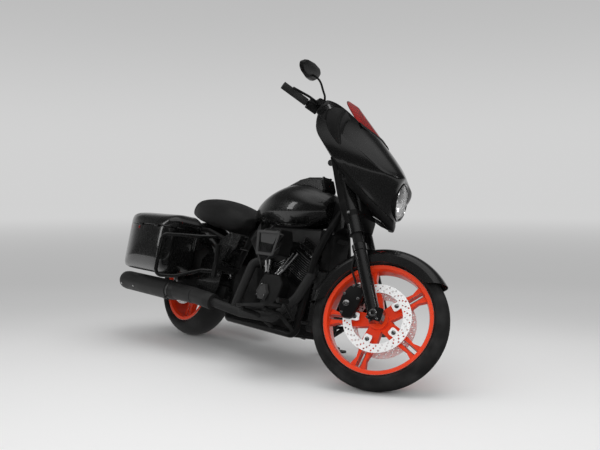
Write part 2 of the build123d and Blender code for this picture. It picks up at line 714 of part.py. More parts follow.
# ---------------------------------------------------------------- saddlebags and lids
# The three outlines that a shell's form shares. Each runs past the brim, where it is cut.
brim_over = 40.0
shell_corner = 20.0           # rounding between the runs of each outline
shell_reach = 900.0           # longer than any shell
lid_top = bag_top + lid_height


def bag_plan(front):
    """Outline from above, with its rear corner drawn in. Its ends clear the side outline."""
    return ((front + 6, 170), (front + 6, bag_out - 14), (front - 56, bag_out),
            (-110, bag_out), (-230, bag_out - 24), (-330, bag_out - 70), (-396, bag_out - 130),
            (bag_rear - 8, bag_out - 196), (bag_rear - 8, bag_in), (174, bag_in), (190, 170))


bag_profile = ((bag_rear + 12, bag_top + brim_over), (bag_rear, 430), (bag_rear + 34, bag_low + 22),
               (bag_rear + 90, bag_low), (bag_front - 40, bag_low), (bag_front, bag_low + 40),
               (bag_front, bag_top + brim_over))
bag_section = ((130, bag_top + brim_over), (130, bag_low - 6), (bag_out - 60, bag_low - 6),
               (bag_out - 8, bag_low + 52), (bag_out + 8, bag_low + 170),
               (bag_out + 8, bag_top + brim_over))
lid_profile = ((bag_rear + 12, bag_top - brim_over), (bag_rear + 20, bag_top + 50),
               (bag_rear + 215, lid_top - 2), (bag_front - 12, lid_top),
               (bag_front + 40, bag_top + 40), (bag_front + 30, bag_top - brim_over))
lid_section = ((130, bag_top - brim_over), (bag_out + 8, bag_top - brim_over),
               (bag_out + 8, bag_top + 26), (bag_out - 60, lid_top - 6),
               (bag_out - 150, lid_top + 6), (130, lid_top + 6))


def bar(plane, outline, inset):
    """A long bar whose rounded outline is drawn inward by inset."""
    with BuildPart(mode=Mode.PRIVATE) as run:
        with BuildSketch(plane) as face:
            with BuildLine():
                Polyline(*outline, close=True)
            make_face()
            fillet(face.vertices(), radius=shell_corner)
            if inset:
                offset(amount=-inset)
        extrude(amount=shell_reach, both=True)
    return run.part


def shell(sign, plan, profile, section):
    """Add the shell one wall thick that three outlines share, and cut its hollow."""
    for inset, mode in ((0, Mode.ADD), (bag_wall, Mode.SUBTRACT)):
        with BuildPart(mode=Mode.PRIVATE) as form:
            add(bar(Plane.XY, [(x, sign * y) for x, y in plan], inset))
            add(bar(side(), profile, inset), mode=Mode.INTERSECT)
            add(bar(across(0), [(sign * y, z) for y, z in section], inset),
                mode=Mode.INTERSECT)
        add(form.part, mode=mode)


guard_tube = 11.0
hinge_places = (-60.0, 140.0)
hinge_long = 60.0
hinge_pin = 3.0
hinge_z = bag_top + lid_gap / 2
bags = []
for name, sign in (("right", -1), ("left", 1)):
    with BuildPart() as bag:
        shell(sign, bag_plan(bag_front), bag_profile, bag_section)
        split(bisect_by=Plane.XY.offset(bag_top), keep=Keep.BOTTOM)
        hinge_y = sign * (bag_out + 7)
        for x in hinge_places:
            for step in (-1, 1):
                ear = x + step * (hinge_long / 2 + 7)
                block(Plane(origin=(ear, sign * (bag_out + 2), bag_top - 12)), 12, 10, 12, 1)
                rod((ear - 6, hinge_y, hinge_z), (ear + 6, hinge_y, hinge_z), 6)
            rod((x - hinge_long / 2 - 8, hinge_y, hinge_z),
                (x + hinge_long / 2 + 8, hinge_y, hinge_z), hinge_pin)
    finish(bag, "saddlebag_" + name, "chassis")
    bags.append(bag)

    with BuildPart() as lid:
        shell(sign, bag_plan(bag_front + 40), lid_profile, lid_section)
        split(bisect_by=Plane.XY.offset(bag_top + lid_gap), keep=Keep.TOP)
        for x in hinge_places:
            block(Plane(origin=(x, sign * (bag_out + 2), bag_top + 3)), hinge_long, 10, 10, 1)
            rod((x - hinge_long / 2, hinge_y, hinge_z), (x + hinge_long / 2, hinge_y, hinge_z), 6)
            rod((x - hinge_long, hinge_y, hinge_z), (x + hinge_long, hinge_y, hinge_z),
                hinge_pin + running_gap, Mode.SUBTRACT)
    finish(lid, "bag_lid_" + name, "lid_" + name)

with BuildPart() as bag_guards:
    for sign in (-1, 1):
        out = sign * (bag_out + guard_tube + 5)
        tube([(350, sign * 138, 612), (bag_front + 70, sign * 250, 590),
              (bag_front + 40, sign * 360, 578), (bag_front - 4, out, 566),
              (bag_front - 10, out, 460), (bag_front - 2, out, bag_low - 14),
              (bag_front + 50, sign * 350, bag_low), (bag_front + 116, sign * 230, 402),
              (500, sign * upright_half, 424)], guard_tube, 34)
    for bag in bags:
        add(bag.part, mode=Mode.SUBTRACT)
    add(frame.part, mode=Mode.SUBTRACT)
finish(bag_guards, "bag_guards", "chassis")

# ---------------------------------------------------------------- low fittings on the frame
with BuildPart() as oil_cooler:
    block(Plane(origin=(cradle_front + 22, 0, 350), x_dir=(0, 1, 0), z_dir=(1, 0, 0)),
          150, 300, 36, 10)
    for fin in range(9):
        with BuildSketch(across(cradle_front + 20, 222 + 32 * fin)) as plate:
            Rectangle(164, 5)
        extrude(plate.sketch, amount=42)
    for z in (240, 460):
        rod((cradle_front + 34, -cradle_half, z), (cradle_front + 34, cradle_half, z), 8)
    add(frame.part, mode=Mode.SUBTRACT)
    add(exhaust_headers.part, mode=Mode.SUBTRACT)
finish(oil_cooler, "oil_cooler", "chassis")

board_x = crank_x + 95
board_z = 276.0
board_half = 152.0
with BuildPart() as footboards:
    for sign in (-1, 1):
        with BuildSketch(Plane(origin=(board_x, sign * 300, board_z), x_dir=(1, 0, 0.14),
                               z_dir=(-0.14, 0, 1))) as board:
            SlotOverall(2 * board_half, 104)
        extrude(board.sketch, amount=14)
        for step in (-90, 92):
            tube([(board_x + step, sign * (cradle_half - 8), cradle_height + 8),
                  (board_x + step, sign * 236, board_z - 26 + 0.14 * step),
                  (board_x + step, sign * 330, board_z - 10 + 0.14 * step)], 11, 30)
    add(frame.part, mode=Mode.SUBTRACT)
    add(engine_cases.part, mode=Mode.SUBTRACT)
    add(exhaust_headers.part, mode=Mode.SUBTRACT)
finish(footboards, "footboards", "chassis")

peg_at = (cradle_rear - 50, 430)
with BuildPart() as passenger_pegs:
    for sign in (-1, 1):
        rod((peg_at[0] + 4, sign * upright_half, peg_at[1] + 4),
            (peg_at[0] + 4, sign * 232, peg_at[1] + 4), 13)
        block(side(peg_at[0] + 6, peg_at[1] - 8, sign * 230 + 8), 34, 84, 16, 8)
        rod((peg_at[0] + 6, sign * 226, peg_at[1] + 14),
            (peg_at[0] + 22, sign * 250, peg_at[1] + 130), 15)
    add(frame.part, mode=Mode.SUBTRACT)
finish(passenger_pegs, "passenger_pegs", "chassis")

with BuildPart() as side_covers:
    for sign in (-1, 1):
        start = sign * 186 + 15
        slab(side(0, 0, start), ((462, 586), (560, 640), (668, 630), (640, 560), (520, 470),
                                 (470, 480)), 30, round_off=16)
        rod((520, sign * 50, 560), (540, sign * 175, 560), 10)
        slab(side(0, 0, sign * 162 + 6), ((300, 238), (440, 238), (486, 330), (500, 450),
                                          (470, 500), (330, 520), (262, 470), (252, 320)), 12,
             round_off=16)
        rod((486, sign * 50, 456), (486, sign * 160, 456), 8)
    add(frame.part, mode=Mode.SUBTRACT)
    add(passenger_pegs.part, mode=Mode.SUBTRACT)
    add(swingarm.part, mode=Mode.SUBTRACT)
    add(rear_axle.part, mode=Mode.SUBTRACT)
    add(bag_guards.part, mode=Mode.SUBTRACT)
finish(side_covers, "side_covers", "chassis")

with BuildPart() as foot_controls:
    tube([(board_x + 40, -(cradle_half + 12), 232), (board_x + 150, -(cradle_half + 70), 250),
          (board_x + 196, -300, 330)], 8, 30)
    tube([(board_x + 40, cradle_half + 12, 232), (board_x + 150, cradle_half + 70, 250),
          (board_x + 196, 300, 330)], 8, 30)
    for sign in (-1, 1):
        rod((board_x + 40, sign * (cradle_half - 20), 232), (board_x + 40, sign * 152, 232), 14)
        rod((board_x + 196, sign * 280, 330), (board_x + 196, sign * 340, 330), 13)
    add(frame.part, mode=Mode.SUBTRACT)
    add(footboards.part, mode=Mode.SUBTRACT)
    add(engine_cases.part, mode=Mode.SUBTRACT)
    add(exhaust_headers.part, mode=Mode.SUBTRACT)
finish(foot_controls, "foot_controls", "chassis")

# ---------------------------------------------------------------- fork
slider_length = 330.0
cover_length = 520.0
cover_low = slider_length + 66
slider_face = fork_spread - slider_radius
fork_axle_half = fork_spread + slider_radius - 4
with BuildPart() as front_axle:
    rod((front_axle_at.X, -fork_axle_half, front_radius),
        (front_axle_at.X, fork_axle_half, front_radius), axle_radius)
    for sign in (-1, 1):
        rod((front_axle_at.X, sign * hub_half, front_radius),
            (front_axle_at.X, sign * slider_face, front_radius), 19)
finish(front_axle, "front_axle", "fork")

with BuildPart() as fork_sliders:
    for sign in (-1, 1):
        rod(fork_point(-34, sign * fork_spread),
            fork_point(slider_length, sign * fork_spread), slider_radius)
        rod(fork_point(slider_length - 20, sign * fork_spread),
            fork_point(slider_length + 12, sign * fork_spread), slider_radius + 4)
        block(side(front_axle_at.X + 10, front_radius, sign * fork_spread + 26), 70, 62, 52, 12)
    add(front_axle.part, mode=Mode.SUBTRACT)
finish(fork_sliders, "fork_sliders", "fork")

with BuildPart() as fork_tubes:
    for sign in (-1, 1):
        rod(fork_point(slider_length + 12, sign * fork_spread),
            fork_point(870, sign * fork_spread), fork_tube_radius)
finish(fork_tubes, "fork_tubes", "fork")

lower_clamp = head_low - 6
upper_clamp = head_high + 6


def clamp_plane(z):
    """A plane square to the steering axis at height z: local x to the left."""
    return Plane(origin=steer_point(z), x_dir=(0, 1, 0), z_dir=steer_up)


def clamp(z, thickness):
    """Add one fork clamp: a plate round both legs and the stem, thickness along the axis."""
    here = clamp_plane(z)
    leg = fork_point((z - front_radius) / fork_up.Z)
    back = (leg - steer_point(z)).dot(here.y_dir)
    with BuildSketch(here) as plate:
        with Locations((-fork_spread, back), (fork_spread, back)):
            Circle(cover_radius + 2)
        Circle(head_radius + 6)
        make_hull()
    extrude(plate.sketch, amount=thickness)


with BuildPart() as steering_clamps:
    clamp(lower_clamp, -clamp_thick)
    clamp(upper_clamp, clamp_thick)
    rod(steer_point(lower_clamp - 10), steer_point(upper_clamp + 34), stem_radius)
    add(fork_tubes.part, mode=Mode.SUBTRACT)
finish(steering_clamps, "steering_clamps", "fork")

with BuildPart() as fork_covers:
    for sign in (-1, 1):
        with BuildSketch(Plane(origin=fork_point(cover_low, sign * fork_spread),
                               z_dir=fork_up)) as low_ring:
            Circle(cover_radius)
        extrude(low_ring.sketch, amount=cover_length - 60)
    add(fork_tubes.part, mode=Mode.SUBTRACT)
    add(steering_clamps.part, mode=Mode.SUBTRACT)
finish(fork_covers, "fork_covers", "fork")

# The steered legs pass the neck cover on both sides, and the clamps sweep above it and through it.
neck_half = 31.0
clamp_sweep = 190.0
clamp_room = 8.0
with BuildPart() as neck_cover:
    slab(side(), ((1130, 812), (1146, 884), (1236, 924), (1262, 880), (1292, 760), (1290, 690),
                  (1250, 640), (1200, 640), (1200, 700)), neck_half, both=True, round_off=10)
    rod(steer_point(lower_clamp - clamp_thick - clamp_room), steer_point(lower_clamp + clamp_room),
        clamp_sweep, Mode.SUBTRACT)
    rod(steer_point(upper_clamp - clamp_room), steer_point(upper_clamp + clamp_thick + clamp_room),
        clamp_sweep, Mode.SUBTRACT)
    block(across(1190, 600), 104, 188, 72, 12)
    add(fuel_tank.part, mode=Mode.SUBTRACT)
    add(frame.part, mode=Mode.SUBTRACT)
    add(exhaust_headers.part, mode=Mode.SUBTRACT)
    add(front_cylinder.part, mode=Mode.SUBTRACT)
finish(neck_cover, "neck_cover", "chassis")

# front fender: a hoop over the tyre, cut to its tail behind and its tip in front
hoop_out = 79.0
hoop_side = 300.0
hoop_crown = 347.0
hoop_skirt = 262.0
hoop_skin = 3.0
with BuildPart() as front_fender:
    with BuildSketch(across(front_axle_at.X, front_radius)):
        with BuildLine():
            Line((hoop_out, hoop_skirt), (hoop_out, hoop_side))
            ThreePointArc((hoop_out, hoop_side), (0, hoop_crown), (-hoop_out, hoop_side))
            Polyline((-hoop_out, hoop_side), (-hoop_out, hoop_skirt),
                     (-hoop_out + hoop_skin, hoop_skirt), (-hoop_out + hoop_skin, hoop_side - 2))
            ThreePointArc((-hoop_out + hoop_skin, hoop_side - 2), (0, hoop_crown - hoop_skin),
                          (hoop_out - hoop_skin, hoop_side - 2))
            Polyline((hoop_out - hoop_skin, hoop_side - 2), (hoop_out - hoop_skin, hoop_skirt),
                     (hoop_out, hoop_skirt))
        make_face()
    revolve(axis=Axis(front_axle_at, (0, 1, 0)))
    # what stays reaches from level behind the axle to the tip above and ahead of it
    slab(side(front_axle_at.X, front_radius, 200),
         ((-500, 4), (-300, 4), (-262, 30), (-230, 120), (0, 200), (190, 210), (268, 236),
          (600, 300), (600, -600), (-500, -600)), 400, Mode.SUBTRACT)
    for sign in (-1, 1):
        start = fork_spread - slider_radius + 3
        rod((front_axle_at.X - 150, sign * (hoop_out - hoop_skin), front_radius + 240),
            (front_axle_at.X - 150, sign * start, front_radius + 240), 14)
    add(fork_sliders.part, mode=Mode.SUBTRACT)
    add(fork_tubes.part, mode=Mode.SUBTRACT)
finish(front_fender, "front_fender", "fork")

# calipers behind the legs, over the discs
with BuildPart() as front_calipers:
    for sign in (-1, 1):
        with BuildSketch(side(front_axle_at.X, front_radius, sign * front_rotor_y + 26)) as body:
            with BuildLine():
                Polyline((-152, 108), (-92, 124), (-84, 60), (-92, 6), (-104, -34), (-146, -34),
                         (-172, 30), close=True)
            make_face()
            fillet(body.vertices(), radius=12)
        extrude(body.sketch, amount=52)
        with BuildSketch(side(front_axle_at.X, front_radius, sign * front_rotor_y + 7)) as slot:
            Circle(front_rotor_radius + 4)
        extrude(slot.sketch, amount=14, mode=Mode.SUBTRACT)
        inward = sign * (front_rotor_y - 30)
        with BuildSketch(side(front_axle_at.X, front_radius, inward + 30)) as lug_sweep:
            Circle(lug_circle + 15 + wheel_gap)
        extrude(lug_sweep.sketch, amount=60, mode=Mode.SUBTRACT)
        rod((front_axle_at.X - 92, sign * (front_rotor_y + 20), front_radius + 84),
            (front_axle_at.X - 92, sign * fork_spread, front_radius + 84), 13)
    add(fork_sliders.part, mode=Mode.SUBTRACT)
finish(front_calipers, "front_calipers", "fork")

# ---------------------------------------------------------------- fairing
# height, nose, wing edge, half width
fairing_levels = (
    (1196, 1381, 1166, 366), (1136, 1455, 1157, 380), (1068, 1526, 1165, 384),
    (1013, 1579, 1196, 374), (964, 1597, 1250, 346), (887, 1569, 1338, 250),
    (813, 1554, 1438, 152), (764, 1562, 1512, 74),
)
fairing_skin = 6.0


def bow(nose, wing, half):
    """Draw half a fairing level in plan: two straight wings joined by a round nose."""
    rounding = 0.6 * half
    apex = nose + 0.2 * rounding
    for _ in range(12):
        slope = atan2(half, apex - wing)
        apex = nose + rounding * (1 / sin(slope) - 1)
    FilletPolyline((wing, -half), (apex, 0), (wing, half), radius=rounding)
    Line((wing, half), (wing, -half))


headlamp_at = Vector(wheelbase - 92, 0, 907)
headlamp_radius = 89.0
with BuildPart() as fairing_outer:
    for inset, mode in ((0, Mode.ADD), (fairing_skin, Mode.SUBTRACT)):
        with BuildPart(mode=Mode.PRIVATE) as shape:
            for z, nose, wing, half in fairing_levels:
                past = inset * {fairing_levels[0][0]: 1, fairing_levels[-1][0]: -1}.get(z, 0)
                with BuildSketch(Plane.XY.offset(z + past)):
                    with BuildLine():
                        bow(nose - inset, wing - 1.5 * inset, half - 0.9 * inset)
                    make_face()
            loft()
        add(shape.part, mode=mode)
    rod(headlamp_at - Vector(60, 0, 0), headlamp_at + Vector(140, 0, 0), headlamp_radius,
        Mode.SUBTRACT)
finish(fairing_outer, "fairing_outer", "fork")

with BuildPart() as headlamp:
    lamp_plane = Plane(origin=headlamp_at, z_dir=(1, 0, 0))
    with BuildSketch(lamp_plane.offset(-90)):
        Circle(headlamp_radius)
    extrude(amount=90)
    with BuildSketch(lamp_plane):
        Circle(headlamp_radius)
    with BuildSketch(lamp_plane.offset(14)):
        Circle(headlamp_radius - 26)
    loft()
finish(headlamp, "headlamp", "fork")

# height, nose, side edge, half width of the short windshield
screen_levels = ((1180, 1399, 1300, 196), (1260, 1312, 1222, 180), (1326, 1238, 1168, 138),
                 (1368, 1192, 1150, 74))
screen_thick = 4.0
trim_proud = 4.0              # of the garnish strip at the foot of the screen, on each face
trim_height = 26.0


def screen_shell(outside, inside):
    """Add the bent sheet between two offsets of the screen's outer face, both inwards."""
    for inset, mode in ((outside, Mode.ADD), (inside, Mode.SUBTRACT)):
        with BuildPart(mode=Mode.PRIVATE) as shape:
            for z, nose, edge, half in screen_levels:
                with BuildSketch(Plane.XY.offset(z)):
                    with BuildLine():
                        bow(nose - 1.4 * inset, edge - 3 * inset, half)
                    make_face()
            loft()
        add(shape.part, mode=mode)


with BuildPart() as windshield:
    screen_shell(0, screen_thick)
    add(fairing_outer.part, mode=Mode.SUBTRACT)
finish(windshield, "windshield", "fork")

with BuildPart() as windshield_trim:
    screen_shell(-trim_proud, screen_thick + trim_proud)
    foot_z = screen_levels[0][0]
    block(Plane(origin=(screen_levels[0][1], 0, foot_z)), 600, 600, trim_height, 4,
          Mode.INTERSECT)
    add(windshield.part, mode=Mode.SUBTRACT)
    add(fairing_outer.part, mode=Mode.SUBTRACT)
finish(windshield_trim, "windshield_trim", "fork")

# ---------------------------------------------------------------- handlebar
bar_radius = 12.7
grip_start = (1050, 325, 1199)
grip_end = (950, 420, 1222)
with BuildPart() as handlebar:
    tube([(1050, -325, 1199), (1128, -252, 1182), (1196, -140, 1100), (1196, 140, 1100),
          (1128, 252, 1182), (1050, 325, 1199)], bar_radius, 50)
    for sign in (-1, 1):
        rod(steer_point(upper_clamp) + Vector(-14, sign * 44, 10),
            Vector(1196, sign * 44, 1100), 16)
    add(steering_clamps.part, mode=Mode.SUBTRACT)
finish(handlebar, "handlebar", "fork")

with BuildPart() as hand_grips:
    for sign in (-1, 1):
        rod((grip_start[0], sign * grip_start[1], grip_start[2]),
            (grip_end[0], sign * grip_end[1], grip_end[2]), 18.5)
    add(handlebar.part, mode=Mode.SUBTRACT)
finish(hand_grips, "hand_grips", "fork")

with BuildPart() as hand_controls:
    for sign in (-1, 1):
        rod((1056, sign * 319, 1198), (1098, sign * 280, 1189), 25)
        block(Plane(origin=(1112, sign * 292, 1196), x_dir=(0.7, sign * 0.7, 0),
                    z_dir=(0, 0, 1)), 62, 52, 34, 10)
        tube([(1118, sign * 300, 1206), (1080, sign * 372, 1206), (1010, sign * 428, 1212)],
             6, 60)
    add(handlebar.part, mode=Mode.SUBTRACT)
    add(hand_grips.part, mode=Mode.SUBTRACT)
finish(hand_controls, "hand_controls", "fork")

# height, back, front, half width
dash_levels = ((1188, 1186, 1262, 338), (1100, 1140, 1262, 352), (1004, 1212, 1300, 312))
with BuildPart() as fairing_inner:
    for z, back, front, half in dash_levels:
        with BuildSketch(Plane.XY.offset(z)):
            with Locations(((back + front) / 2, 0)):
                RectangleRounded(front - back, 2 * half, 24)
    loft()
    for y in (-60, 60):
        rod((1100, y, 1120), (1160, y, 1114), 46, Mode.SUBTRACT)
    for source in (fairing_outer, steering_clamps, fork_tubes, fork_covers, handlebar,
                   hand_controls):
        add(source.part, mode=Mode.SUBTRACT)
finish(fairing_inner, "fairing_inner", "fork")

mirror_at = (1036, 386, 1338)
with BuildPart() as mirrors:
    for sign in (-1, 1):
        tube([(1118, sign * 292, 1226), (1128, sign * 306, 1262), (1092, sign * 350, 1310),
              (mirror_at[0] + 8, sign * mirror_at[1], mirror_at[2])], 5, 40)
        with BuildSketch(Plane(origin=(mirror_at[0], sign * mirror_at[1], mirror_at[2]),
                               x_dir=(0, 1, 0), z_dir=(1, 0, 0))) as glass:
            Ellipse(76, 52, rotation=sign * -38)
        extrude(glass.sketch, amount=22)
    add(hand_controls.part, mode=Mode.SUBTRACT)
finish(mirrors, "mirrors", "fork")

# ---------------------------------------------------------------- brake hoses
with BuildPart() as brake_hoses:
    for sign in (-1, 1):
        top = fork_point(470, sign * (fork_spread - cover_radius - 8))
        tube([tuple(top), (front_axle_at.X - 190, sign * 84, front_radius + 300),
              (front_axle_at.X - 178, sign * 88, front_radius + 190),
              (front_axle_at.X - 128, sign * (front_rotor_y + 18), front_radius + 112)], 5, 60)
    add(front_calipers.part, mode=Mode.SUBTRACT)
    add(fork_covers.part, mode=Mode.SUBTRACT)
    add(front_fender.part, mode=Mode.SUBTRACT)
finish(brake_hoses, "brake_hoses", "fork")

# ---------------------------------------------------------------- rear caliper, signals, plate
with BuildPart() as rear_caliper:
    with BuildSketch(side(0, rear_radius, -rear_rotor_y + 20)) as body:
        with BuildLine():
            Polyline((60, 100), (118, 66), (168, 10), (160, -36), (112, -30), (80, 20),
                     (44, 62), close=True)
        make_face()
        fillet(body.vertices(), radius=8)
    extrude(body.sketch, amount=arm_y - arm_thick / 2 - rear_rotor_y + 20)
    with BuildSketch(side(0, rear_radius, -rear_rotor_y + 6)) as slot:
        Circle(rear_rotor_radius + 4)
    extrude(slot.sketch, amount=12, mode=Mode.SUBTRACT)
    add(swingarm.part, mode=Mode.SUBTRACT)
finish(rear_caliper, "rear_caliper", "chassis")

with BuildPart() as rear_lamps:
    block(Plane(origin=(-318, 0, 520), x_dir=(0, 1, 0), z_dir=(-0.94, 0, 0.34)), 132, 46, 44, 14)
    for sign in (-1, 1):
        rod((-296, sign * 60, rail_height - 70), (-296, sign * 60, rail_height - 8), 7)
        rod((-300, sign * 60, rail_height - 70), (-300, sign * 148, rail_height - 70), 7)
        rod((-330, sign * 148, rail_height - 70), (-270, sign * 148, rail_height - 70), 22)
    add(frame.part, mode=Mode.SUBTRACT)
    add(rear_fender.part, mode=Mode.SUBTRACT)
finish(rear_lamps, "rear_lamps", "chassis")

# ---------------------------------------------------------------- side stand
with BuildPart() as side_stand:
    ankle = foot + floor_up * foot_thick
    tube([tuple(stand_pivot), tuple(stand_pivot + down_run * 0.55 + Vector(0, 0, 14)),
          tuple(ankle + floor_up * 6), ], stand_leg, 60)
    with BuildSketch(Plane(origin=foot, x_dir=(1, 0.3, 0), z_dir=floor_up)) as pad:
        SlotOverall(92, 46)
    extrude(pad.sketch, amount=foot_thick)
    split(bisect_by=Plane(origin=foot, z_dir=floor_up), keep=Keep.TOP)
    rod(stand_pivot - stand_hinge * 15, stand_pivot + stand_hinge * 15, 20)
    rod(stand_pivot - stand_hinge * 30, stand_pivot + stand_hinge * 30, 8 + running_gap,
        Mode.SUBTRACT)
finish(side_stand, "side_stand", "side_stand")

# ---------------------------------------------------------------- set every piece in its place
steered = ("fork", "front_wheel")
parked_pieces = []
for part, body in pieces:
    if body in steered:
        part = part.rotate(steer_axis, steer_stop)
    parked_pieces.append((part.moved(stance), part.label, body))
boxes = [part.bounding_box() for part, _, _ in parked_pieces]
shift = Vector(-(min(box.min.X for box in boxes) + max(box.max.X for box in boxes)) / 2,
               -(min(box.min.Y for box in boxes) + max(box.max.Y for box in boxes)) / 2, 0)
print("shift", shift, "pitch", pitch, "low", min(box.min.Z for box in boxes))
for part, label, body in parked_pieces:
    placed = part.moved(Location(shift))
    placed.label = label
    export_step(placed, f"parts/{label}.step")


def parked_line(point, direction, turned=False):
    """A joint's point and axis in the parked frame, in metres."""
    ends = []
    for end in (point, point + direction):
        if turned:
            end = Vertex(end).rotate(steer_axis, steer_stop).center()
        ends.append(parked.from_local_coords(end) + shift)
    place = ends[0] / 1000
    along = (ends[1] - ends[0]).normalized()
    return [round(value, 6) for value in (*place, *along)]


print("steering", parked_line(steer_point(870), steer_up))
print("front_wheel_spin", parked_line(front_axle_at, Vector(0, 1, 0), turned=True))
print("rear_wheel_spin", parked_line(rear_axle_at, Vector(0, 1, 0)))
print("side_stand_fold", parked_line(stand_pivot, stand_hinge))
print("fold angle", down_run.get_angle(folded_run))
print("right_lid_hinge", parked_line(Vector(0, -bag_out - 7, hinge_z), Vector(1, 0, 0)))
print("left_lid_hinge", parked_line(Vector(0, bag_out + 7, hinge_z), Vector(-1, 0, 0)))
print("fuel_door_hinge", parked_line(door_pin, Vector(0, 1, 0)))
print("stance", parked_line(Vector(0, 0, 0), Vector(1, 0, 0)),
      parked_line(Vector(0, 0, 0), Vector(0, 1, 0)))
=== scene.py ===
import json
import math

import bmesh
import bpy
from mathutils import Matrix, Vector


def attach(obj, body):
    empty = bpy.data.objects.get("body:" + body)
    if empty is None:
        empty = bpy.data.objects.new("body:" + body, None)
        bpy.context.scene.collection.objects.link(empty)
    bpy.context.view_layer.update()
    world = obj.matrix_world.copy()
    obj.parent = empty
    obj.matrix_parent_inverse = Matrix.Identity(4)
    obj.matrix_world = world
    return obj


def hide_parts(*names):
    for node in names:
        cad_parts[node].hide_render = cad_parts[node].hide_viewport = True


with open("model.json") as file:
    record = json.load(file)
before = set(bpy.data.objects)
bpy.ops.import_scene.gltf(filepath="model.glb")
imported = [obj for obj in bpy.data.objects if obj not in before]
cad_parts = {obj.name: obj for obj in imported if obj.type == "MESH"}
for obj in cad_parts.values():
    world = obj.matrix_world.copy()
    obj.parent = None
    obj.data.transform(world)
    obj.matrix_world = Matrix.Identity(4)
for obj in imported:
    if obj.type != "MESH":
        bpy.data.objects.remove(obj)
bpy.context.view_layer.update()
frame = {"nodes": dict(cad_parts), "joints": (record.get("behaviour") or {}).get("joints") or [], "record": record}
scene = bpy.context.scene
scene.view_settings.view_transform = "Standard"

# ------------------------------------------------------------------ where the machine stands
# The pieces are modelled on an upright machine, in millimetres: X forward, Y to the rider's
# left, Z up, with the origin where the rear tyre touches the floor. Two matrices set them in
# the frame: one for the machine, one for the fork group, which is turned to its stop.
MILLIMETRE = 0.001
REAR_RADIUS = 327.6
STEER_STOP = math.radians(32.6)
SIDES = (("right", -1), ("left", 1))
joints = {joint["name"]: joint for joint in frame["joints"]}


def joint_line(name):
    """A point on a joint's axis and its direction."""
    joint = joints[name]
    return Vector(joint["pos_m"]), Vector(joint["axis"]).normalized()


rear_hub, leftward = joint_line("rear_wheel_spin")
forward = joint_line("right_lid_hinge")[1]
upward = forward.cross(leftward)
machine = Matrix((forward, leftward, upward)).transposed().to_4x4()
machine.translation = rear_hub - REAR_RADIUS * MILLIMETRE * upward
machine = machine @ Matrix.Scale(MILLIMETRE, 4)
steer_at, steer_up = joint_line("steering")
to_stop = Matrix.Rotation(STEER_STOP, 4, steer_up)
steered = Matrix.Translation(steer_at) @ to_stop @ Matrix.Translation(-steer_at) @ machine


def linked(name, data):
    """A new object in the scene."""
    thing = bpy.data.objects.new(name, data)
    scene.collection.objects.link(thing)
    return thing


def meshed(form, name):
    """A form as a mesh. The form is freed."""
    mesh = bpy.data.meshes.new(name)
    form.to_mesh(mesh)
    form.free()
    return mesh


# ------------------------------------------------------------------ camera
CAMERA_AT = Vector((3.4371, -2.5056, 0.905))
CAMERA_YAW = math.radians(142.0)
CAMERA_PITCH = math.radians(-2.7)

camera_data = bpy.data.cameras.new("camera")
camera_data.lens = 46.4
camera_data.sensor_width = 36.0
camera = linked("camera", camera_data)
camera.location = CAMERA_AT
camera.rotation_euler = (math.pi / 2 + CAMERA_PITCH, 0, CAMERA_YAW - math.pi / 2)
scene.camera = camera


# ------------------------------------------------------------------ shader expressions
class Flow:
    """A value on its way through a node tree. Arithmetic on it adds Math nodes."""

    def __init__(self, graph, socket):
        self.graph = graph
        self.socket = socket

    def math(self, operation, first, second):
        return self.graph.node("ShaderNodeMath", {"operation": operation},
                               {0: first, 1: second})

    def __add__(self, other):
        return self.math("ADD", self, other)

    def __radd__(self, other):
        return self.math("ADD", other, self)

    def __mul__(self, other):
        return self.math("MULTIPLY", self, other)

    def __rmul__(self, other):
        return self.math("MULTIPLY", other, self)


class Graph:
    """A node tree that is written in expressions."""

    def __init__(self, tree):
        self.tree = tree

    def node(self, kind, settings, sockets, output=0):
        """Add a node: its settings first, then the value or link of each socket."""
        node = self.tree.nodes.new(kind)
        for setting, value in settings.items():
            setattr(node, setting, value)
        for key, value in sockets.items():
            if isinstance(value, Flow):
                self.tree.links.new(value.socket, node.inputs[key])
            else:
                node.inputs[key].default_value = value
        return Flow(self, node.outputs[output])

    def band(self, value, low, high, start=0.0, end=1.0):
        """The value brought from low..high to start..end, smoothly, and held there."""
        return self.node("ShaderNodeMapRange", {"interpolation_type": "SMOOTHSTEP"},
                         {0: value, 1: low, 2: high, 3: start, 4: end})

    def mix(self, factor, first, second):
        """Two colours mixed by a factor."""
        return self.node("ShaderNodeMix", {"data_type": "RGBA"},
                         {0: factor, 6: first, 7: second}, output=2)

    def part(self, vector, axis):
        """One coordinate of a vector."""
        return self.node("ShaderNodeSeparateXYZ", {}, {0: vector}, output="XYZ".index(axis))


def grey(level):
    return (level, level, level, 1.0)


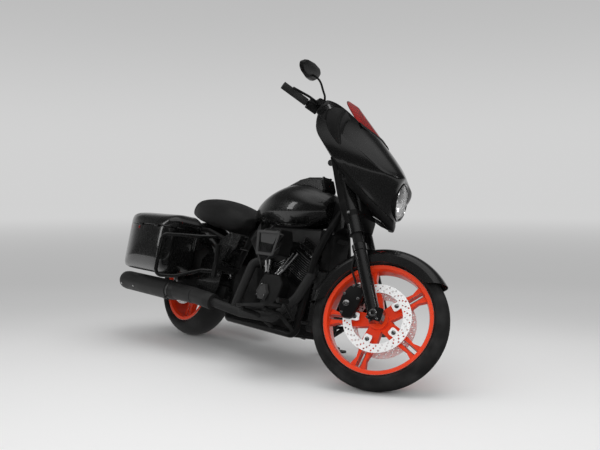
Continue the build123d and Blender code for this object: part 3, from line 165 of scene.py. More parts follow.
class Finish(Graph):
    """A procedural material on one Principled shader."""

    def __init__(self, name, **constants):
        self.material = bpy.data.materials.new(name)
        self.material.use_nodes = True
        super().__init__(self.material.node_tree)
        self.shader = self.tree.nodes["Principled BSDF"]
        for socket, value in constants.items():
            self.socket(socket).default_value = value
        self.place = self.node("ShaderNodeTexCoord", {}, {}, output="Object")

    def socket(self, name):
        return self.shader.inputs[name.replace("_", " ").title().replace("Ior", "IOR")]

    def drive(self, **flows):
        """Link what varies over the surface to the shader."""
        for name, flow in flows.items():
            self.tree.links.new(flow.socket, self.socket(name))

    def noise(self, scale, detail=4.0):
        return self.node("ShaderNodeTexNoise", {},
                         {"Vector": self.place, "Scale": scale, "Detail": detail})

    def bump(self, height, distance, strength):
        """Relief over edges that look eased, as cast and pressed ones are."""
        eased = self.node("ShaderNodeBevel", {"samples": 6}, {"Radius": 1.2 * MILLIMETRE})
        self.drive(normal=self.node("ShaderNodeBump", {}, {
            "Height": height, "Distance": distance, "Strength": strength, "Normal": eased}))


# ------------------------------------------------------------------ finishes
def painted(name, colour, rough, coat):
    """Sprayed paint: a clear coat with faint orange peel, and a little dust in patches."""
    finish = Finish(name, coat_weight=coat, coat_roughness=0.03)
    cloud = finish.noise(9.0, 6.0)
    finish.drive(
        base_color=finish.mix(finish.band(cloud, 0.45, 0.8, 0.0, 0.01), colour, grey(0.35)),
        roughness=finish.band(finish.noise(34.0), 0.3, 0.75, rough, rough + 0.08))
    finish.bump(finish.noise(110.0, 1.0), 0.00002, 0.12)
    return finish.material


def coated(name, colour, rough, grain, depth):
    """Powder coat or moulded plastic: an even grain with paler scuffs."""
    finish = Finish(name, specular_ior_level=0.3)
    scuff = finish.noise(14.0, 8.0)
    finish.drive(
        base_color=finish.mix(finish.band(scuff, 0.5, 0.85, 0.0, 0.06), colour, grey(0.16)),
        roughness=finish.band(scuff, 0.25, 0.8, rough - 0.07, rough + 0.07))
    finish.bump(finish.noise(grain, 3.0), depth, 0.6)
    return finish.material


def bare_metal(name, colour, rough, grain, depth):
    """Plated, cast or machined metal: fine grain and smudges that dull it."""
    finish = Finish(name, metallic=1.0)
    smudge = finish.noise(22.0, 6.0)
    finish.drive(
        base_color=finish.mix(finish.band(smudge, 0.35, 0.8, 0.0, 0.35), colour, grey(0.38)),
        roughness=finish.band(smudge, 0.3, 0.8, rough, rough + 0.14))
    finish.bump(finish.noise(grain, 3.0), depth, 0.5)
    return finish.material


def rubber(name, rough, grain):
    """Rubber with a dusty bloom and a fine grain."""
    finish = Finish(name, specular_ior_level=0.35)
    bloom = finish.noise(11.0, 8.0)
    finish.drive(
        base_color=finish.mix(finish.band(bloom, 0.35, 0.8), grey(0.011), grey(0.032)),
        roughness=finish.band(bloom, 0.3, 0.8, rough - 0.08, rough + 0.06))
    finish.bump(finish.noise(grain, 4.0), 0.0003, 0.5)
    return finish.material


gloss_black = painted("gloss_black_paint", grey(0.004), 0.22, 1.0)
satin_black = coated("satin_black_powder_coat", grey(0.007), 0.34, 900.0, 0.00008)
matte_black = coated("matte_black_heat_paint", grey(0.022), 0.46, 1400.0, 0.00012)
trim_plastic = coated("moulded_black_plastic", grey(0.010), 0.50, 700.0, 0.00025)
vermilion = painted("vermilion_paint", (0.90, 0.055, 0.010, 1.0), 0.3, 0.7)
bright_metal = bare_metal("bright_plating", grey(0.86), 0.08, 300.0, 0.00002)
dull_silver = bare_metal("dull_cast_silver", grey(0.22), 0.36, 1100.0, 0.0001)
fin_silver = bare_metal("cut_fin_edges", grey(0.62), 0.30, 1200.0, 0.00003)
cover_grey = coated("charcoal_cover_coat", grey(0.050), 0.40, 1000.0, 0.00008)
lamp_bowl = bare_metal("lamp_bowl_plating", grey(0.93), 0.16, 60.0, 0.0008)
mirror_glass = bare_metal("mirror_glass", grey(0.75), 0.02, 40.0, 0.000001)
machined = bare_metal("machined_rim_edge", (0.93, 0.80, 0.76, 1.0), 0.24, 1400.0, 0.00003)
tyre_rubber = rubber("tyre_rubber", 0.72, 260.0)
soft_rubber = rubber("grip_rubber", 0.62, 700.0)


def ground_steel():
    """Pale disc steel with a fine grind and faint smudges."""
    finish = Finish("ground_disc_steel", metallic=0.0, specular_ior_level=0.7)
    smudge = finish.noise(40.0, 6.0)
    finish.drive(
        base_color=finish.mix(finish.band(smudge, 0.4, 0.8, 0.0, 0.2), grey(0.93), grey(0.72)),
        roughness=finish.band(smudge, 0.3, 0.8, 0.30, 0.42))
    finish.bump(finish.noise(1500.0, 2.0), 0.00004, 0.4)
    return finish.material


def seat_vinyl_finish():
    """Black seat vinyl: leather grain from cells, over a soft variation of sheen."""
    finish = Finish("seat_vinyl", specular_ior_level=0.35)
    wear = finish.noise(7.0, 6.0)
    cells = finish.node("ShaderNodeTexVoronoi", {"feature": "DISTANCE_TO_EDGE"},
                        {"Vector": finish.place, "Scale": 420.0})
    finish.drive(
        base_color=finish.mix(finish.band(wear, 0.4, 0.8), grey(0.008), grey(0.016)),
        roughness=finish.band(wear, 0.3, 0.8, 0.50, 0.64))
    finish.bump(finish.band(cells, 0.0, 0.12) + 0.3 * finish.noise(900.0), 0.0004, 0.7)
    return finish.material


def lens(name, colour, rough, through):
    """Clear or tinted plastic, with a faint haze."""
    finish = Finish(name, base_color=colour, transmission_weight=through, ior=1.49,
                    coat_weight=0.6)
    finish.drive(roughness=finish.band(finish.noise(18.0), 0.3, 0.8, rough, rough + 0.05))
    return finish.material


disc_steel = ground_steel()
seat_vinyl = seat_vinyl_finish()
lamp_glass = lens("headlamp_lens", grey(0.95), 0.02, 1.0)
screen_red = lens("red_screen", (0.62, 0.012, 0.008, 1.0), 0.05, 0.75)
lamp_red = lens("red_lens", (0.30, 0.004, 0.004, 1.0), 0.08, 0.25)

finish_of_slot = {
    "gloss_black": gloss_black, "satin_black": satin_black, "matte_black": matte_black,
    "vermilion": vermilion, "disc_steel": disc_steel, "bright": bright_metal,
    "dull_silver": dull_silver, "tyre_rubber": tyre_rubber, "soft_rubber": soft_rubber,
    "seat_vinyl": seat_vinyl, "lamp_glass": lamp_glass, "screen_red": screen_red,
    "lamp_red": lamp_red, "trim_plastic": trim_plastic,
}


# ------------------------------------------------------------------ studio
def studio_world():
    """A pale backdrop round the machine and a darker room behind the camera."""
    world = bpy.data.worlds.new("studio")
    world.use_nodes = True
    scene.world = world
    graph = Graph(world.node_tree)
    camera_ray = graph.node("ShaderNodeLightPath", {}, {}, output="Is Camera Ray")
    light = camera_ray.socket.node
    glossy = Flow(graph, light.outputs["Is Glossy Ray"])
    through = Flow(graph, light.outputs["Is Transmission Ray"])
    seen = graph.node("ShaderNodeTexCoord", {}, {}, output="Generated")
    height = graph.part(seen, "Z")
    wall = graph.mix(graph.band(height, -0.16, -0.01), grey(0.47), grey(0.64))
    wall = graph.mix(graph.band(height, 0.05, 0.26), wall, grey(0.50))
    ahead = Vector((math.cos(CAMERA_YAW), math.sin(CAMERA_YAW), 0.0))
    towards = graph.node("ShaderNodeVectorMath", {"operation": "DOT_PRODUCT"},
                         {0: seen, 1: ahead}, output="Value")
    # what gloss mirrors: the pale backdrop, a dark room round it and a lit ceiling
    room = graph.mix(graph.band(towards, 0.42, 0.88), grey(0.03), grey(0.42))
    room = graph.mix(graph.band(height, 0.14, 0.45), room, grey(0.035))
    room = graph.mix(graph.band(height, 0.60, 0.85), room, grey(0.42))
    colour = graph.mix(glossy, grey(0.55), room)
    colour = graph.mix(camera_ray + through, colour, wall)
    shader = world.node_tree.nodes["Background"]
    world.node_tree.links.new(colour.socket, shader.inputs["Color"])


def studio_floor():
    """A floor with painted light: paler by the camera and darker away from it. Far off it glows in the backdrop's
    greys and runs into the backdrop behind the machine.
    """
    form = bmesh.new()
    bmesh.ops.create_circle(form, cap_ends=True, segments=96, radius=40.0)
    floor = linked("floor", meshed(form, "floor"))
    material = bpy.data.materials.new("studio_floor")
    material.use_nodes = True
    floor.data.materials.append(material)
    graph = Graph(material.node_tree)
    place = graph.node("ShaderNodeTexCoord", {}, {}, output="Object")
    across = graph.node("ShaderNodeVectorMath", {"operation": "SUBTRACT"},
                        {0: place, 1: (CAMERA_AT.x, CAMERA_AT.y, 0.0)})
    away = graph.node("ShaderNodeVectorMath", {"operation": "LENGTH"}, {0: across},
                      output="Value")
    # painted light: the floor's colour is paler near the camera and darker away from it, as the light falls off
    painted_floor_falloff = graph.mix(graph.band(away, 2.6, 5.6), grey(0.90), grey(0.72))
    far = graph.mix(graph.band(away, 6.0, 8.0), grey(0.50), grey(0.46))
    far = graph.mix(graph.band(away, 8.0, 26.0), far, grey(0.64))
    shader = material.node_tree.nodes["Principled BSDF"]
    shader.inputs["Roughness"].default_value = 0.7
    shader.inputs["Specular IOR Level"].default_value = 0.1
    material.node_tree.links.new(painted_floor_falloff.socket, shader.inputs["Base Color"])
    glow = graph.node("ShaderNodeEmission", {}, {"Color": far}, output="Emission")
    floor_shader = graph.node("ShaderNodeMixShader", {}, {
        0: graph.band(away, 4.6, 6.6), 1: Flow(graph, shader.outputs["BSDF"]), 2: glow},
        output="Shader")
    # painted reflection: glossy rays see a glow in place of the lit floor, dark by the camera and pale behind the
    # machine
    glossy = graph.node("ShaderNodeLightPath", {}, {}, output="Is Glossy Ray")
    mirrored = graph.mix(graph.band(away, 3.6, 5.4), grey(0.07), grey(0.46))
    mirrored = graph.node("ShaderNodeEmission", {}, {"Color": mirrored}, output="Emission")
    surface = graph.node("ShaderNodeMixShader", {}, {0: glossy, 1: floor_shader, 2: mirrored},
                         output="Shader")
    tree = material.node_tree
    tree.links.new(surface.socket, tree.nodes["Material Output"].inputs["Surface"])


def softbox(name, place, aim, width, height, power, mirrored=True):
    """A rectangular studio lamp that points at a place, with or without its reflection."""
    data = bpy.data.lights.new(name, "AREA")
    data.shape = "RECTANGLE"
    data.size = width
    data.size_y = height
    data.energy = power
    lamp = linked(name, data)
    lamp.location = place
    lamp.rotation_euler = (Vector(aim) - Vector(place)).to_track_quat("-Z", "Y").to_euler()
    lamp.visible_glossy = mirrored


studio_world()
studio_floor()
softbox("ceiling_softbox", (0.0, 0.2, 3.6), (0.1, 0.0, 0.3), 3.6, 2.6, 58.0, False)
softbox("fill_softbox", (3.3, -3.3, 1.7), (0.4, 0.0, 0.4), 2.4, 2.0, 46.0, False)
softbox("rear_right_softbox", (-2.6, -2.6, 2.0), (-0.4, 0.0, 0.6), 0.5, 1.8, 7.0)
softbox("front_softbox", (3.6, 1.4, 2.2), (0.6, 0.0, 0.7), 0.3, 1.6, 5.0)

# ------------------------------------------------------------------ the frame's own pieces
for subpart in frame["record"]["subparts"]:
    node = frame["nodes"].get(subpart.get("node"))
    if node is None:
        continue
    node.data.materials.clear()
    node.data.materials.append(finish_of_slot[subpart["material_slot"]])


# ------------------------------------------------------------------ forms
def facing(place, along, up=(0, 0, 1)):
    """A local frame at a place: Z along a direction, Y as near to another as it can be."""
    ahead = Vector(along).normalized()
    side = Vector(up).cross(ahead).normalized()
    turn = Matrix((side, ahead.cross(side), ahead)).transposed().to_4x4()
    return Matrix.Translation(Vector(place)) @ turn


def spread(count, radius, start=0.0):
    """Places round a circle in a local XY plane, each turned to face outwards along X."""
    turns = [Matrix.Rotation(math.radians(start) + math.tau * i / count, 4, "Z")
             for i in range(count)]
    return [turn @ Matrix.Translation((radius, 0, 0)) for turn in turns]


def join(form, other, *places):
    """Add a copy of another form at each place, and free it."""
    mesh = bpy.data.meshes.new("joining")
    for place in places or (Matrix.Identity(4),):
        copy = other.copy()
        copy.transform(place)
        copy.to_mesh(mesh)
        form.from_mesh(mesh)
        copy.free()
    other.free()
    bpy.data.meshes.remove(mesh)


def close(form):
    """Weld the doubles that spins and joins leave, and turn every face outwards."""
    bmesh.ops.remove_doubles(form, verts=form.verts, dist=0.002)
    bmesh.ops.dissolve_degenerate(form, dist=0.001, edges=form.edges)
    bmesh.ops.recalc_face_normals(form, faces=form.faces)
    return form


def turning(profile, steps=64):
    """A form turned on a lathe about Z, from a run of (radius, height) points."""
    form = bmesh.new()
    line = [form.verts.new((radius, 0, height)) for radius, height in profile]
    edges = [form.edges.new(pair) for pair in zip(line, line[1:])]
    bmesh.ops.spin(form, geom=line + edges, cent=(0, 0, 0), axis=(0, 0, 1), dvec=(0, 0, 0),
                   angle=math.tau, steps=steps, use_merge=True)
    return close(form)


def ease(form, edges, width, segments=2):
    bmesh.ops.bevel(form, geom=edges, offset=width, offset_type="OFFSET", segments=segments,
                    profile=0.5, affect="EDGES", material=-1, clamp_overlap=True)


def plate(outline, thick, corner=0.0, edge=0.0):
    """A plate drawn up Z from an outline, its corners rounded and its top edge eased."""
    form = bmesh.new()
    face = form.faces.new([form.verts.new((x, y, 0)) for x, y in outline])
    bmesh.ops.recalc_face_normals(form, faces=[face])
    raised = bmesh.ops.extrude_face_region(form, geom=[face])["geom"]
    bmesh.ops.translate(form, verts=[v for v in raised if isinstance(v, bmesh.types.BMVert)],
                        vec=(0, 0, thick))
    if corner:
        upright = [e for e in form.edges if abs(e.verts[0].co.z - e.verts[1].co.z) > thick / 2]
        ease(form, upright, corner, 4)
    if edge:
        ease(form, [e for e in form.edges if min(v.co.z for v in e.verts) > thick - 0.01], edge)
    return close(form)


def pipe(points, radius):
    """A tube along a smooth line that keeps near its points."""
    curve = bpy.data.curves.new("run", "CURVE")
    curve.dimensions = "3D"
    curve.bevel_depth = radius
    curve.bevel_resolution = 5
    curve.use_fill_caps = True
    curve.resolution_u = 8
    spline = curve.splines.new("NURBS")
    spline.points.add(len(points) - 1)
    for point, place in zip(spline.points, points):
        point.co = (*place, 1.0)
    spline.order_u = 3
    spline.use_endpoint_u = True
    holder = bpy.data.objects.new("run", curve)
    mesh = bpy.data.meshes.new_from_object(holder)
    form = bmesh.new()
    form.from_mesh(mesh)
    bpy.data.objects.remove(holder)
    bpy.data.curves.remove(curve)
    bpy.data.meshes.remove(mesh)
    return close(form)


def raised_face(form):
    """The widest face that looks up Z."""
    return max((f for f in form.faces if f.normal.z > 0.9), key=lambda f: f.calc_area())


def sink(form, rim, slope, depth):
    """Sink a plate's panel inside a rim."""
    face = raised_face(form)
    bmesh.ops.inset_region(form, faces=[face], thickness=rim, use_even_offset=True)
    bmesh.ops.inset_region(form, faces=[face], thickness=slope, depth=-depth,
                           use_even_offset=True)
    return face


def leave_band(form, width, thick):
    """Leave only a band along a flat face's outline, and give it a thickness."""
    bmesh.ops.inset_region(form, faces=form.faces[:], thickness=width, use_boundary=True,
                           use_even_offset=True)
    middle = max(form.faces, key=lambda face: len(face.verts))
    bmesh.ops.delete(form, geom=[middle], context="FACES")
    bmesh.ops.solidify(form, geom=form.faces[:], thickness=thick)


def moved(form, vec):
    bmesh.ops.translate(form, verts=form.verts, vec=vec)
    return form


def dress(piece, finish, body, slot, *replaced):
    """Give a piece its finish, and let it ride on a body in place of what it replaces."""
    piece.data.materials.clear()
    piece.data.materials.append(finish)
    for polygon in piece.data.polygons:
        polygon.use_smooth = True
    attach(piece, body)
    if replaced:
        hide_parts(*replaced)
    return piece


def settle(form, name, finish, body, slot, *replaced, sharp=35.0):
    """Set a form in its place on the machine, as a piece that rides on a body."""
    form.transform(steered if body in ("fork", "front_wheel") else machine)
    piece = dress(linked(name, meshed(form, name)), finish, body, slot, *replaced)
    piece.data.set_sharp_from_angle(angle=math.radians(sharp))
    return piece


def rounded(piece, levels):
    rounding = piece.modifiers.new("rounding", "SUBSURF")
    rounding.levels = levels
    rounding.render_levels = levels


def applied(piece):
    """Make a piece's modifiers part of its mesh."""
    graph = bpy.context.evaluated_depsgraph_get()
    mesh = bpy.data.meshes.new_from_object(piece.evaluated_get(graph))
    old = piece.data
    piece.modifiers.clear()
    piece.data = mesh
    bpy.data.meshes.remove(old)
    return piece


def on_curve(at, line):
    """The value at a place on a smooth curve through (place, value) points."""
    at = min(max(at, line[0][0]), line[-1][0])
    index = max(i for i, point in enumerate(line[:-1]) if point[0] <= at)
    (start, first), (end, last) = line[index:index + 2]
    before, after = line[max(index - 1, 0)], line[min(index + 2, len(line) - 1)]
    span = end - start
    leave = span * (last - before[1]) / (end - before[0])
    arrive = span * (after[1] - first) / (after[0] - start)
    t = (at - start) / span
    return ((1 + 2 * t) * (1 - t) ** 2 * first + t * (1 - t) ** 2 * leave
            + t * t * (3 - 2 * t) * last + t * t * (t - 1) * arrive)


def on_line(at, line):
    """The value at a place on a run of (place, value) points in rising order."""
    if at <= line[0][0]:
        return line[0][1]
    for (start, first), (end, last) in zip(line, line[1:]):
        if at <= end:
            return first + (last - first) * (at - start) / (end - start)
    return line[-1][1]


# ------------------------------------------------------------------ wheels and brakes
FRONT_HUB = (1625.0, 0.0, 319.3)
REAR_HUB = (0.0, 0.0, REAR_RADIUS)
SPOKES = 5
SPOKE_ANGLE = 46.0
LUG_CIRCLE = 104.0
CALIPER_FACE = 90.0


def drilled_disc(radius, band, thick):
    """A brake disc with three drilled rows and a bolted lug at each spoke, on its Z axis."""
    form = bmesh.new()
    rows = [radius - band, radius - band + 3.5, radius - band * 0.64, radius - band * 0.36,
            radius - 3.5, radius]
    line = [form.verts.new((at, 0, 0)) for at in rows]
    edges = [form.edges.new(pair) for pair in zip(line, line[1:])]
    steps = 84
    bmesh.ops.spin(form, geom=line + edges, cent=(0, 0, 0), axis=(0, 0, 1), dvec=(0, 0, 0),
                   angle=math.tau, steps=steps, use_merge=True)
    bmesh.ops.remove_doubles(form, verts=form.verts, dist=0.01)
    holed = []
    for face in form.faces:
        centre = face.calc_center_median()
        around = int((math.atan2(centre.y, centre.x) % math.tau) / math.tau * steps)
        row = sum(centre.to_2d().length > at for at in rows) - 2
        if 0 <= row <= 2 and (around + row) % 3 == 0:
            holed.append(face)
    bmesh.ops.inset_individual(form, faces=holed, thickness=2.3)
    bmesh.ops.bevel(form, geom=[v for f in holed for v in f.verts], offset=1.7,
                    offset_type="OFFSET", segments=2, profile=0.5, affect="VERTICES",
                    material=-1)
    # what the bevel leaves in the middle of each hole has the most corners
    bmesh.ops.delete(form, geom=[f for f in form.faces if len(f.verts) >= 12], context="FACES")
    bmesh.ops.recalc_face_normals(form, faces=form.faces)
    bmesh.ops.solidify(form, geom=form.faces[:], thickness=thick)
    heights = [v.co.z for v in form.verts]
    moved(form, (0, 0, -(max(heights) + min(heights)) / 2))
    reach = radius - band - LUG_CIRCLE
    lug = plate(((-22, -15), (-10, -19), (reach - 4, -17), (reach + 6, -24), (reach + 6, 24),
                 (reach - 4, 17), (-10, 19), (-22, 15)), thick - 0.6, 3.0, 0.5)
    join(form, moved(lug, (0, 0, 0.3 - thick / 2)), *spread(SPOKES, LUG_CIRCLE, SPOKE_ANGLE))
    return form


for name, wheel, hub, radius, offsets, rotor in (
        ("front_brake_discs", "front_wheel", FRONT_HUB, 159.0, (-61.0, 61.0), "front_rotors"),
        ("rear_brake_disc", "rear_wheel", REAR_HUB, 146.0, (-96.0,), "rear_rotor")):
    discs = bmesh.new()
    join(discs, drilled_disc(radius, 40.0, 5.0),
         *[facing(Vector(hub) + Vector((0, y, 0)), (0, -1, 0)) for y in offsets])
    settle(discs, name, disc_steel, wheel, "disc_steel", rotor)

for wheel, hub, offset, rim_at, lip_half, flange in (
        ("front_wheel", FRONT_HUB, 61.0, 231.3, 52.0, 257.0),
        ("rear_wheel", REAR_HUB, 96.0, 218.6, 75.0, 245.0)):
    buttons = bmesh.new()
    button = turning(((0, 0), (10.5, 0), (10.5, 1.2), (9.0, 2.0), (6.4, 2.0), (5.6, 4.2),
                      (3.0, 4.8), (0, 4.8)), 24)
    outward = [facing(Vector(hub) + Vector((0, -offset - 2.5, 0)), (0, -1, 0))]
    if wheel == "front_wheel":
        outward.append(facing(Vector(hub) + Vector((0, offset + 2.5, 0)), (0, 1, 0)))
    join(buttons, button, *[face @ place for face in outward
                            for place in spread(SPOKES, LUG_CIRCLE, SPOKE_ANGLE
                                                if face is outward[0] else
                                                180 - SPOKE_ANGLE)])
    settle(buttons, wheel + "_disc_bolts", bright_metal, wheel, "bright")

    # machined faces: a frame round each spoke's slot, on both sides, and a line round the lip
    long = rim_at - LUG_CIRCLE - 26.0
    frame_ring = bmesh.new()
    loop = bmesh.ops.create_circle(frame_ring, cap_ends=True, segments=28, radius=12.0)["verts"]
    for vert in loop:
        vert.co.x += math.copysign(long / 2 - 8.5, vert.co.x)
    leave_band(frame_ring, 3.4, 1.0)
    moved(frame_ring, (0, 0, 0.6 - max(v.co.z for v in frame_ring.verts)))
    accents = bmesh.new()
    middle = (LUG_CIRCLE + rim_at) / 2 + 12.0
    for sign in (-1, 1):
        face = facing(Vector(hub) + Vector((0, sign * 17.0, 0)), (0, sign, 0))
        angle = SPOKE_ANGLE if sign < 0 else 180 - SPOKE_ANGLE
        join(accents, frame_ring.copy(), *[face @ place
                                           for place in spread(SPOKES, middle, angle)])
        lip = turning(((flange - 2.6, 0.0), (flange - 2.4, 0.8), (flange - 0.2, 0.8),
                       (flange, 0.0), (flange - 2.6, 0.0)), 128)
        join(accents, lip, facing(Vector(hub) + Vector((0, sign * lip_half, 0)),
                                  (0, sign, 0)))
    frame_ring.free()
    settle(accents, wheel + "_machined_edges", machined, wheel, "vermilion")


# calipers: over each front disc an outer half, an inner one and the bridge between them. The
# disc's lugs turn past the inner half, and the heads of its bolts past the outer one.
caliper_parts = (
    (((164, 106), (126, 132), (98, 122), (86, 62), (96, 10), (110, -36), (152, -42), (186, 8),
      (182, 60)), 68.5, 21.5, 12.0, 6.0),
    (((164, 106), (126, 132), (104, 122), (114, 76), (186, 8), (182, 60)), 36.0, 22.0, 8.0,
     3.0),
    (((164, 106), (126, 132), (108, 126), (116, 112), (150, 92), (172, 62), (186, 66)), 48.0,
     30.0, 5.0, 0.0))
calipers = bmesh.new()
for sign in (-1, 1):
    flip = Matrix.Diagonal((1, sign, 1, 1))
    for outline, start, thick, corner, edge in caliper_parts:
        join(calipers, plate(outline, thick, corner, edge),
             flip @ facing(Vector(FRONT_HUB) + Vector((0, start, 0)), (0, 1, 0)))
settle(close(calipers), "front_brake_calipers", satin_black, "fork", "satin_black",
       "front_calipers")

# their cap bolts
caps = bmesh.new()
big_cap = turning(((0, 0), (13.5, 0), (14.5, 1.5), (14.5, 4.5), (12.0, 6.0), (4.5, 6.4),
                   (4.0, 5.0), (0, 5.0)), 32)
small_cap = turning(((0, 0), (7.5, 0), (7.5, 3.0), (6.4, 4.4), (0, 4.8)), 20)
for sign in (-1, 1):
    def cap_at(x, z):
        return facing((FRONT_HUB[0] + x, sign * CALIPER_FACE, FRONT_HUB[2] + z), (0, sign, 0))

    join(caps, big_cap.copy(), cap_at(-150, 26))
    join(caps, small_cap.copy(), cap_at(-141, 112), cap_at(-112, 116), cap_at(-104, 58),
         cap_at(-160, -22), cap_at(-172, 66))
big_cap.free()
small_cap.free()
settle(caps, "caliper_caps", bright_metal, "fork", "bright")

# fork feet: the ring of the axle's end, and the pinch bolts; a black disc inside each ring is painted shade for
# the axle's bore
rings = bmesh.new()
ring = turning(((10.0, 0), (17.5, 0), (17.5, 3.5), (16.0, 5.0), (11.5, 5.0), (10.0, 3.5),
                (10.0, 0)), 40)
pinch = turning(((0, 0), (6.0, 0), (6.0, 3.4), (5.0, 4.6), (0, 4.8)), 20)
for sign in (-1, 1):
    def on_foot(x, z, out):
        return facing((x, sign * out, z), (0, sign, 0))

    join(rings, ring.copy(), on_foot(1625, 319.3, 148))
    join(rings, pinch.copy(), on_foot(1652, 296, 148), on_foot(1606, 296, 148),
         on_foot(1371, 751, 157.5) @ Matrix.Scale(1.25, 4))
ring.free()
pinch.free()
settle(rings, "fork_foot_rings", bright_metal, "fork", "bright")
# painted shade: a shallow black disc fills each ring where the axle's hollow bore lies in shade
bore_shade_discs = bmesh.new()
for sign in (-1, 1):
    join(bore_shade_discs, turning(((0, 0), (10.4, 0), (10.4, 1.6), (4.0, 1.4), (0, 1.4)), 32),
         facing((1625, sign * 147.6, 319.3), (0, sign, 0)))
settle(bore_shade_discs, "axle_bore_shade_discs", satin_black, "fork", "satin_black")

# ------------------------------------------------------------------ fairing
# height, nose, wing edge, half width of the fairing, from the top down
FAIRING = ((1230, 1332, 1172, 356), (1196, 1376, 1166, 366), (1136, 1446, 1157, 380),
           (1068, 1518, 1165, 384), (1013, 1579, 1196, 374), (964, 1597, 1250, 346),
           (887, 1569, 1338, 250), (813, 1554, 1438, 152), (764, 1562, 1512, 74))
# heights along the feature lines, by the share of the half width out from the middle
CREASE = ((0.0, 1004), (0.3, 1000), (0.42, 988), (0.493, 983), (0.538, 995), (0.582, 1010),
          (0.648, 1037), (0.681, 1055), (0.725, 1069), (0.758, 1091), (0.813, 1109),
          (0.868, 1118), (0.912, 1119), (0.978, 1133), (1.0, 1138))
SHELF = ((0.0, 996), (0.3, 990), (0.42, 976), (0.52, 968), (0.58, 976), (0.648, 1002),
         (0.70, 1030), (0.758, 1062), (0.813, 1088), (0.868, 1100), (0.912, 1103),
         (0.978, 1116), (1.0, 1120))
CHIN = ((0.0, 800), (0.31, 801), (0.56, 816), (0.80, 840), (0.89, 876), (0.96, 906),
        (1.0, 930))
BROW = ((0.0, 1176), (0.4, 1184), (0.45, 1198), (0.53, 1218), (0.65, 1229), (0.75, 1230),
        (0.87, 1226), (0.978, 1214), (1.0, 1204))
# the lamp's place, the radius of its opening, and the dish that the nose forms round it
HEADLAMP = (1550.0, 0.0, 907.0)
LAMP_OPENING = 91.0
LAMP_DISH = 150.0
LAMP_RIM = 1552.0


def fairing_point(height, share, inset):
    """A point of the fairing's surface: two straight wings joined by a round nose."""
    lines = [[(level[0], level[i]) for level in reversed(FAIRING)] for i in (1, 2, 3)]
    nose, wing, half = (on_curve(height, line) for line in lines)
    nose, wing, half = nose - inset, wing - 1.2 * inset, half - 0.7 * inset
    rounding = 0.6 * half
    apex = nose + 0.2 * rounding
    for _ in range(12):
        slope = math.atan2(half, apex - wing)
        apex = nose + rounding * (1 / math.sin(slope) - 1)
    out = abs(share) * half
    if out < rounding * math.cos(slope):
        ahead = nose - rounding + math.sqrt(rounding ** 2 - out ** 2)
    else:
        ahead = wing + (half - out) * (apex - wing) / half
    around = math.hypot(out, height - HEADLAMP[2])
    if around < LAMP_DISH and ahead > LAMP_RIM:
        rise = max(0.0, (around - LAMP_OPENING) / (LAMP_DISH - LAMP_OPENING))
        ahead = LAMP_RIM + (ahead - LAMP_RIM) * rise * rise * (3 - 2 * rise)
    return Vector((ahead, math.copysign(out, share), height))


def draped(rows, shares):
    """A sheet over the fairing: each row gives a height and an inset for a share of width."""
    form = bmesh.new()
    bmesh.ops.create_grid(form, x_segments=len(shares) - 1, y_segments=len(rows) - 1,
                          size=1.0)
    for vert in form.verts:
        share = shares[round((vert.co.x + 1) / 2 * (len(shares) - 1))]
        height, inset = rows[round((1 - vert.co.y) / 2 * (len(rows) - 1))](share)
        vert.co = fairing_point(height, share, inset)
    bmesh.ops.recalc_face_normals(form, faces=form.faces)
    return form


def swell(share):
    """How much of the crease there is: all of it on the wings, none over the nose."""
    return min(1.0, max(0.0, (abs(share) - 0.40) / 0.16))


def row(low, high, part, inset):
    """A row part of the way from one line to another, sunk by an inset on the wings."""
    return lambda share: (on_line(abs(share), low) * (1 - part)
                          + on_line(abs(share), high) * part, inset * swell(share))


def under_chin(drop, inset):
    return lambda share: (on_line(abs(share), CHIN) - drop, inset)


shares = [side_of * share for side_of in (-1, 1) for share in (
    1.0, 0.985, 0.95, 0.9, 0.86, 0.8, 0.74, 0.68, 0.62, 0.56, 0.5, 0.44, 0.38, 0.31, 0.24,
    0.17, 0.1, 0.03)]
shares.sort()
fairing_rows = [row(*line) for line in (
    (BROW, BROW, 0, 0.0), (BROW, CREASE, 0.04, 0.5), (BROW, CREASE, 0.35, 5.0),
    (BROW, CREASE, 0.7, 10.0), (BROW, CREASE, 0.97, 15.0), (CREASE, CREASE, 0, 16.0),
    (CREASE, SHELF, 0.94, 1.6), (SHELF, SHELF, 0, 0.0),
    *((SHELF, CHIN, part, 0.0)
      for part in (0.05, 0.16, 0.28, 0.40, 0.52, 0.64, 0.76, 0.87, 0.97)),
    (CHIN, CHIN, 0, 1.0))]
lamp_axis = facing(HEADLAMP, (1, 0, 0))


def open_for_lamp(form):
    """Leave the lamp's opening in the sheet, and draw its edge onto a circle."""
    def away(place):
        return math.hypot(place.y - HEADLAMP[1], place.z - HEADLAMP[2])

    gone = [face for face in form.faces if away(face.calc_center_median()) < LAMP_OPENING]
    edge = {vert for face in gone for vert in face.verts}
    bmesh.ops.delete(form, geom=gone, context="FACES")
    half_widths = [(level[0], level[3]) for level in reversed(FAIRING)]
    for vert in edge:
        if vert.is_valid:
            reach = LAMP_OPENING / away(vert.co)
            height = HEADLAMP[2] + (vert.co.z - HEADLAMP[2]) * reach
            share = vert.co.y * reach / on_curve(height, half_widths)
            vert.co = fairing_point(height, share, 0.0)
    return form


def skinned(piece, thick, smooth):
    """Give a sheet its wall and round it by subdivision."""
    wall = piece.modifiers.new("wall", "SOLIDIFY")
    wall.thickness = thick * MILLIMETRE
    wall.offset = -1.0
    rounded(piece, smooth)
    return applied(piece)


fairing = settle(open_for_lamp(draped(fairing_rows, shares)), "fairing_shell", gloss_black,
                 "fork", "gloss_black", "fairing_outer", sharp=50.0)
skinned(fairing, 5.0, 2)

chin_rows = [under_chin(*line) for line in (
    (1.0, -2.0), (5.0, -3.0), (22.0, -2.0), (40.0, 2.0), (46.0, 6.0), (46.5, 30.0))]
chin = settle(draped(chin_rows, shares), "fairing_chin", satin_black, "fork", "gloss_black",
              sharp=50.0)
skinned(chin, 4.0, 1)

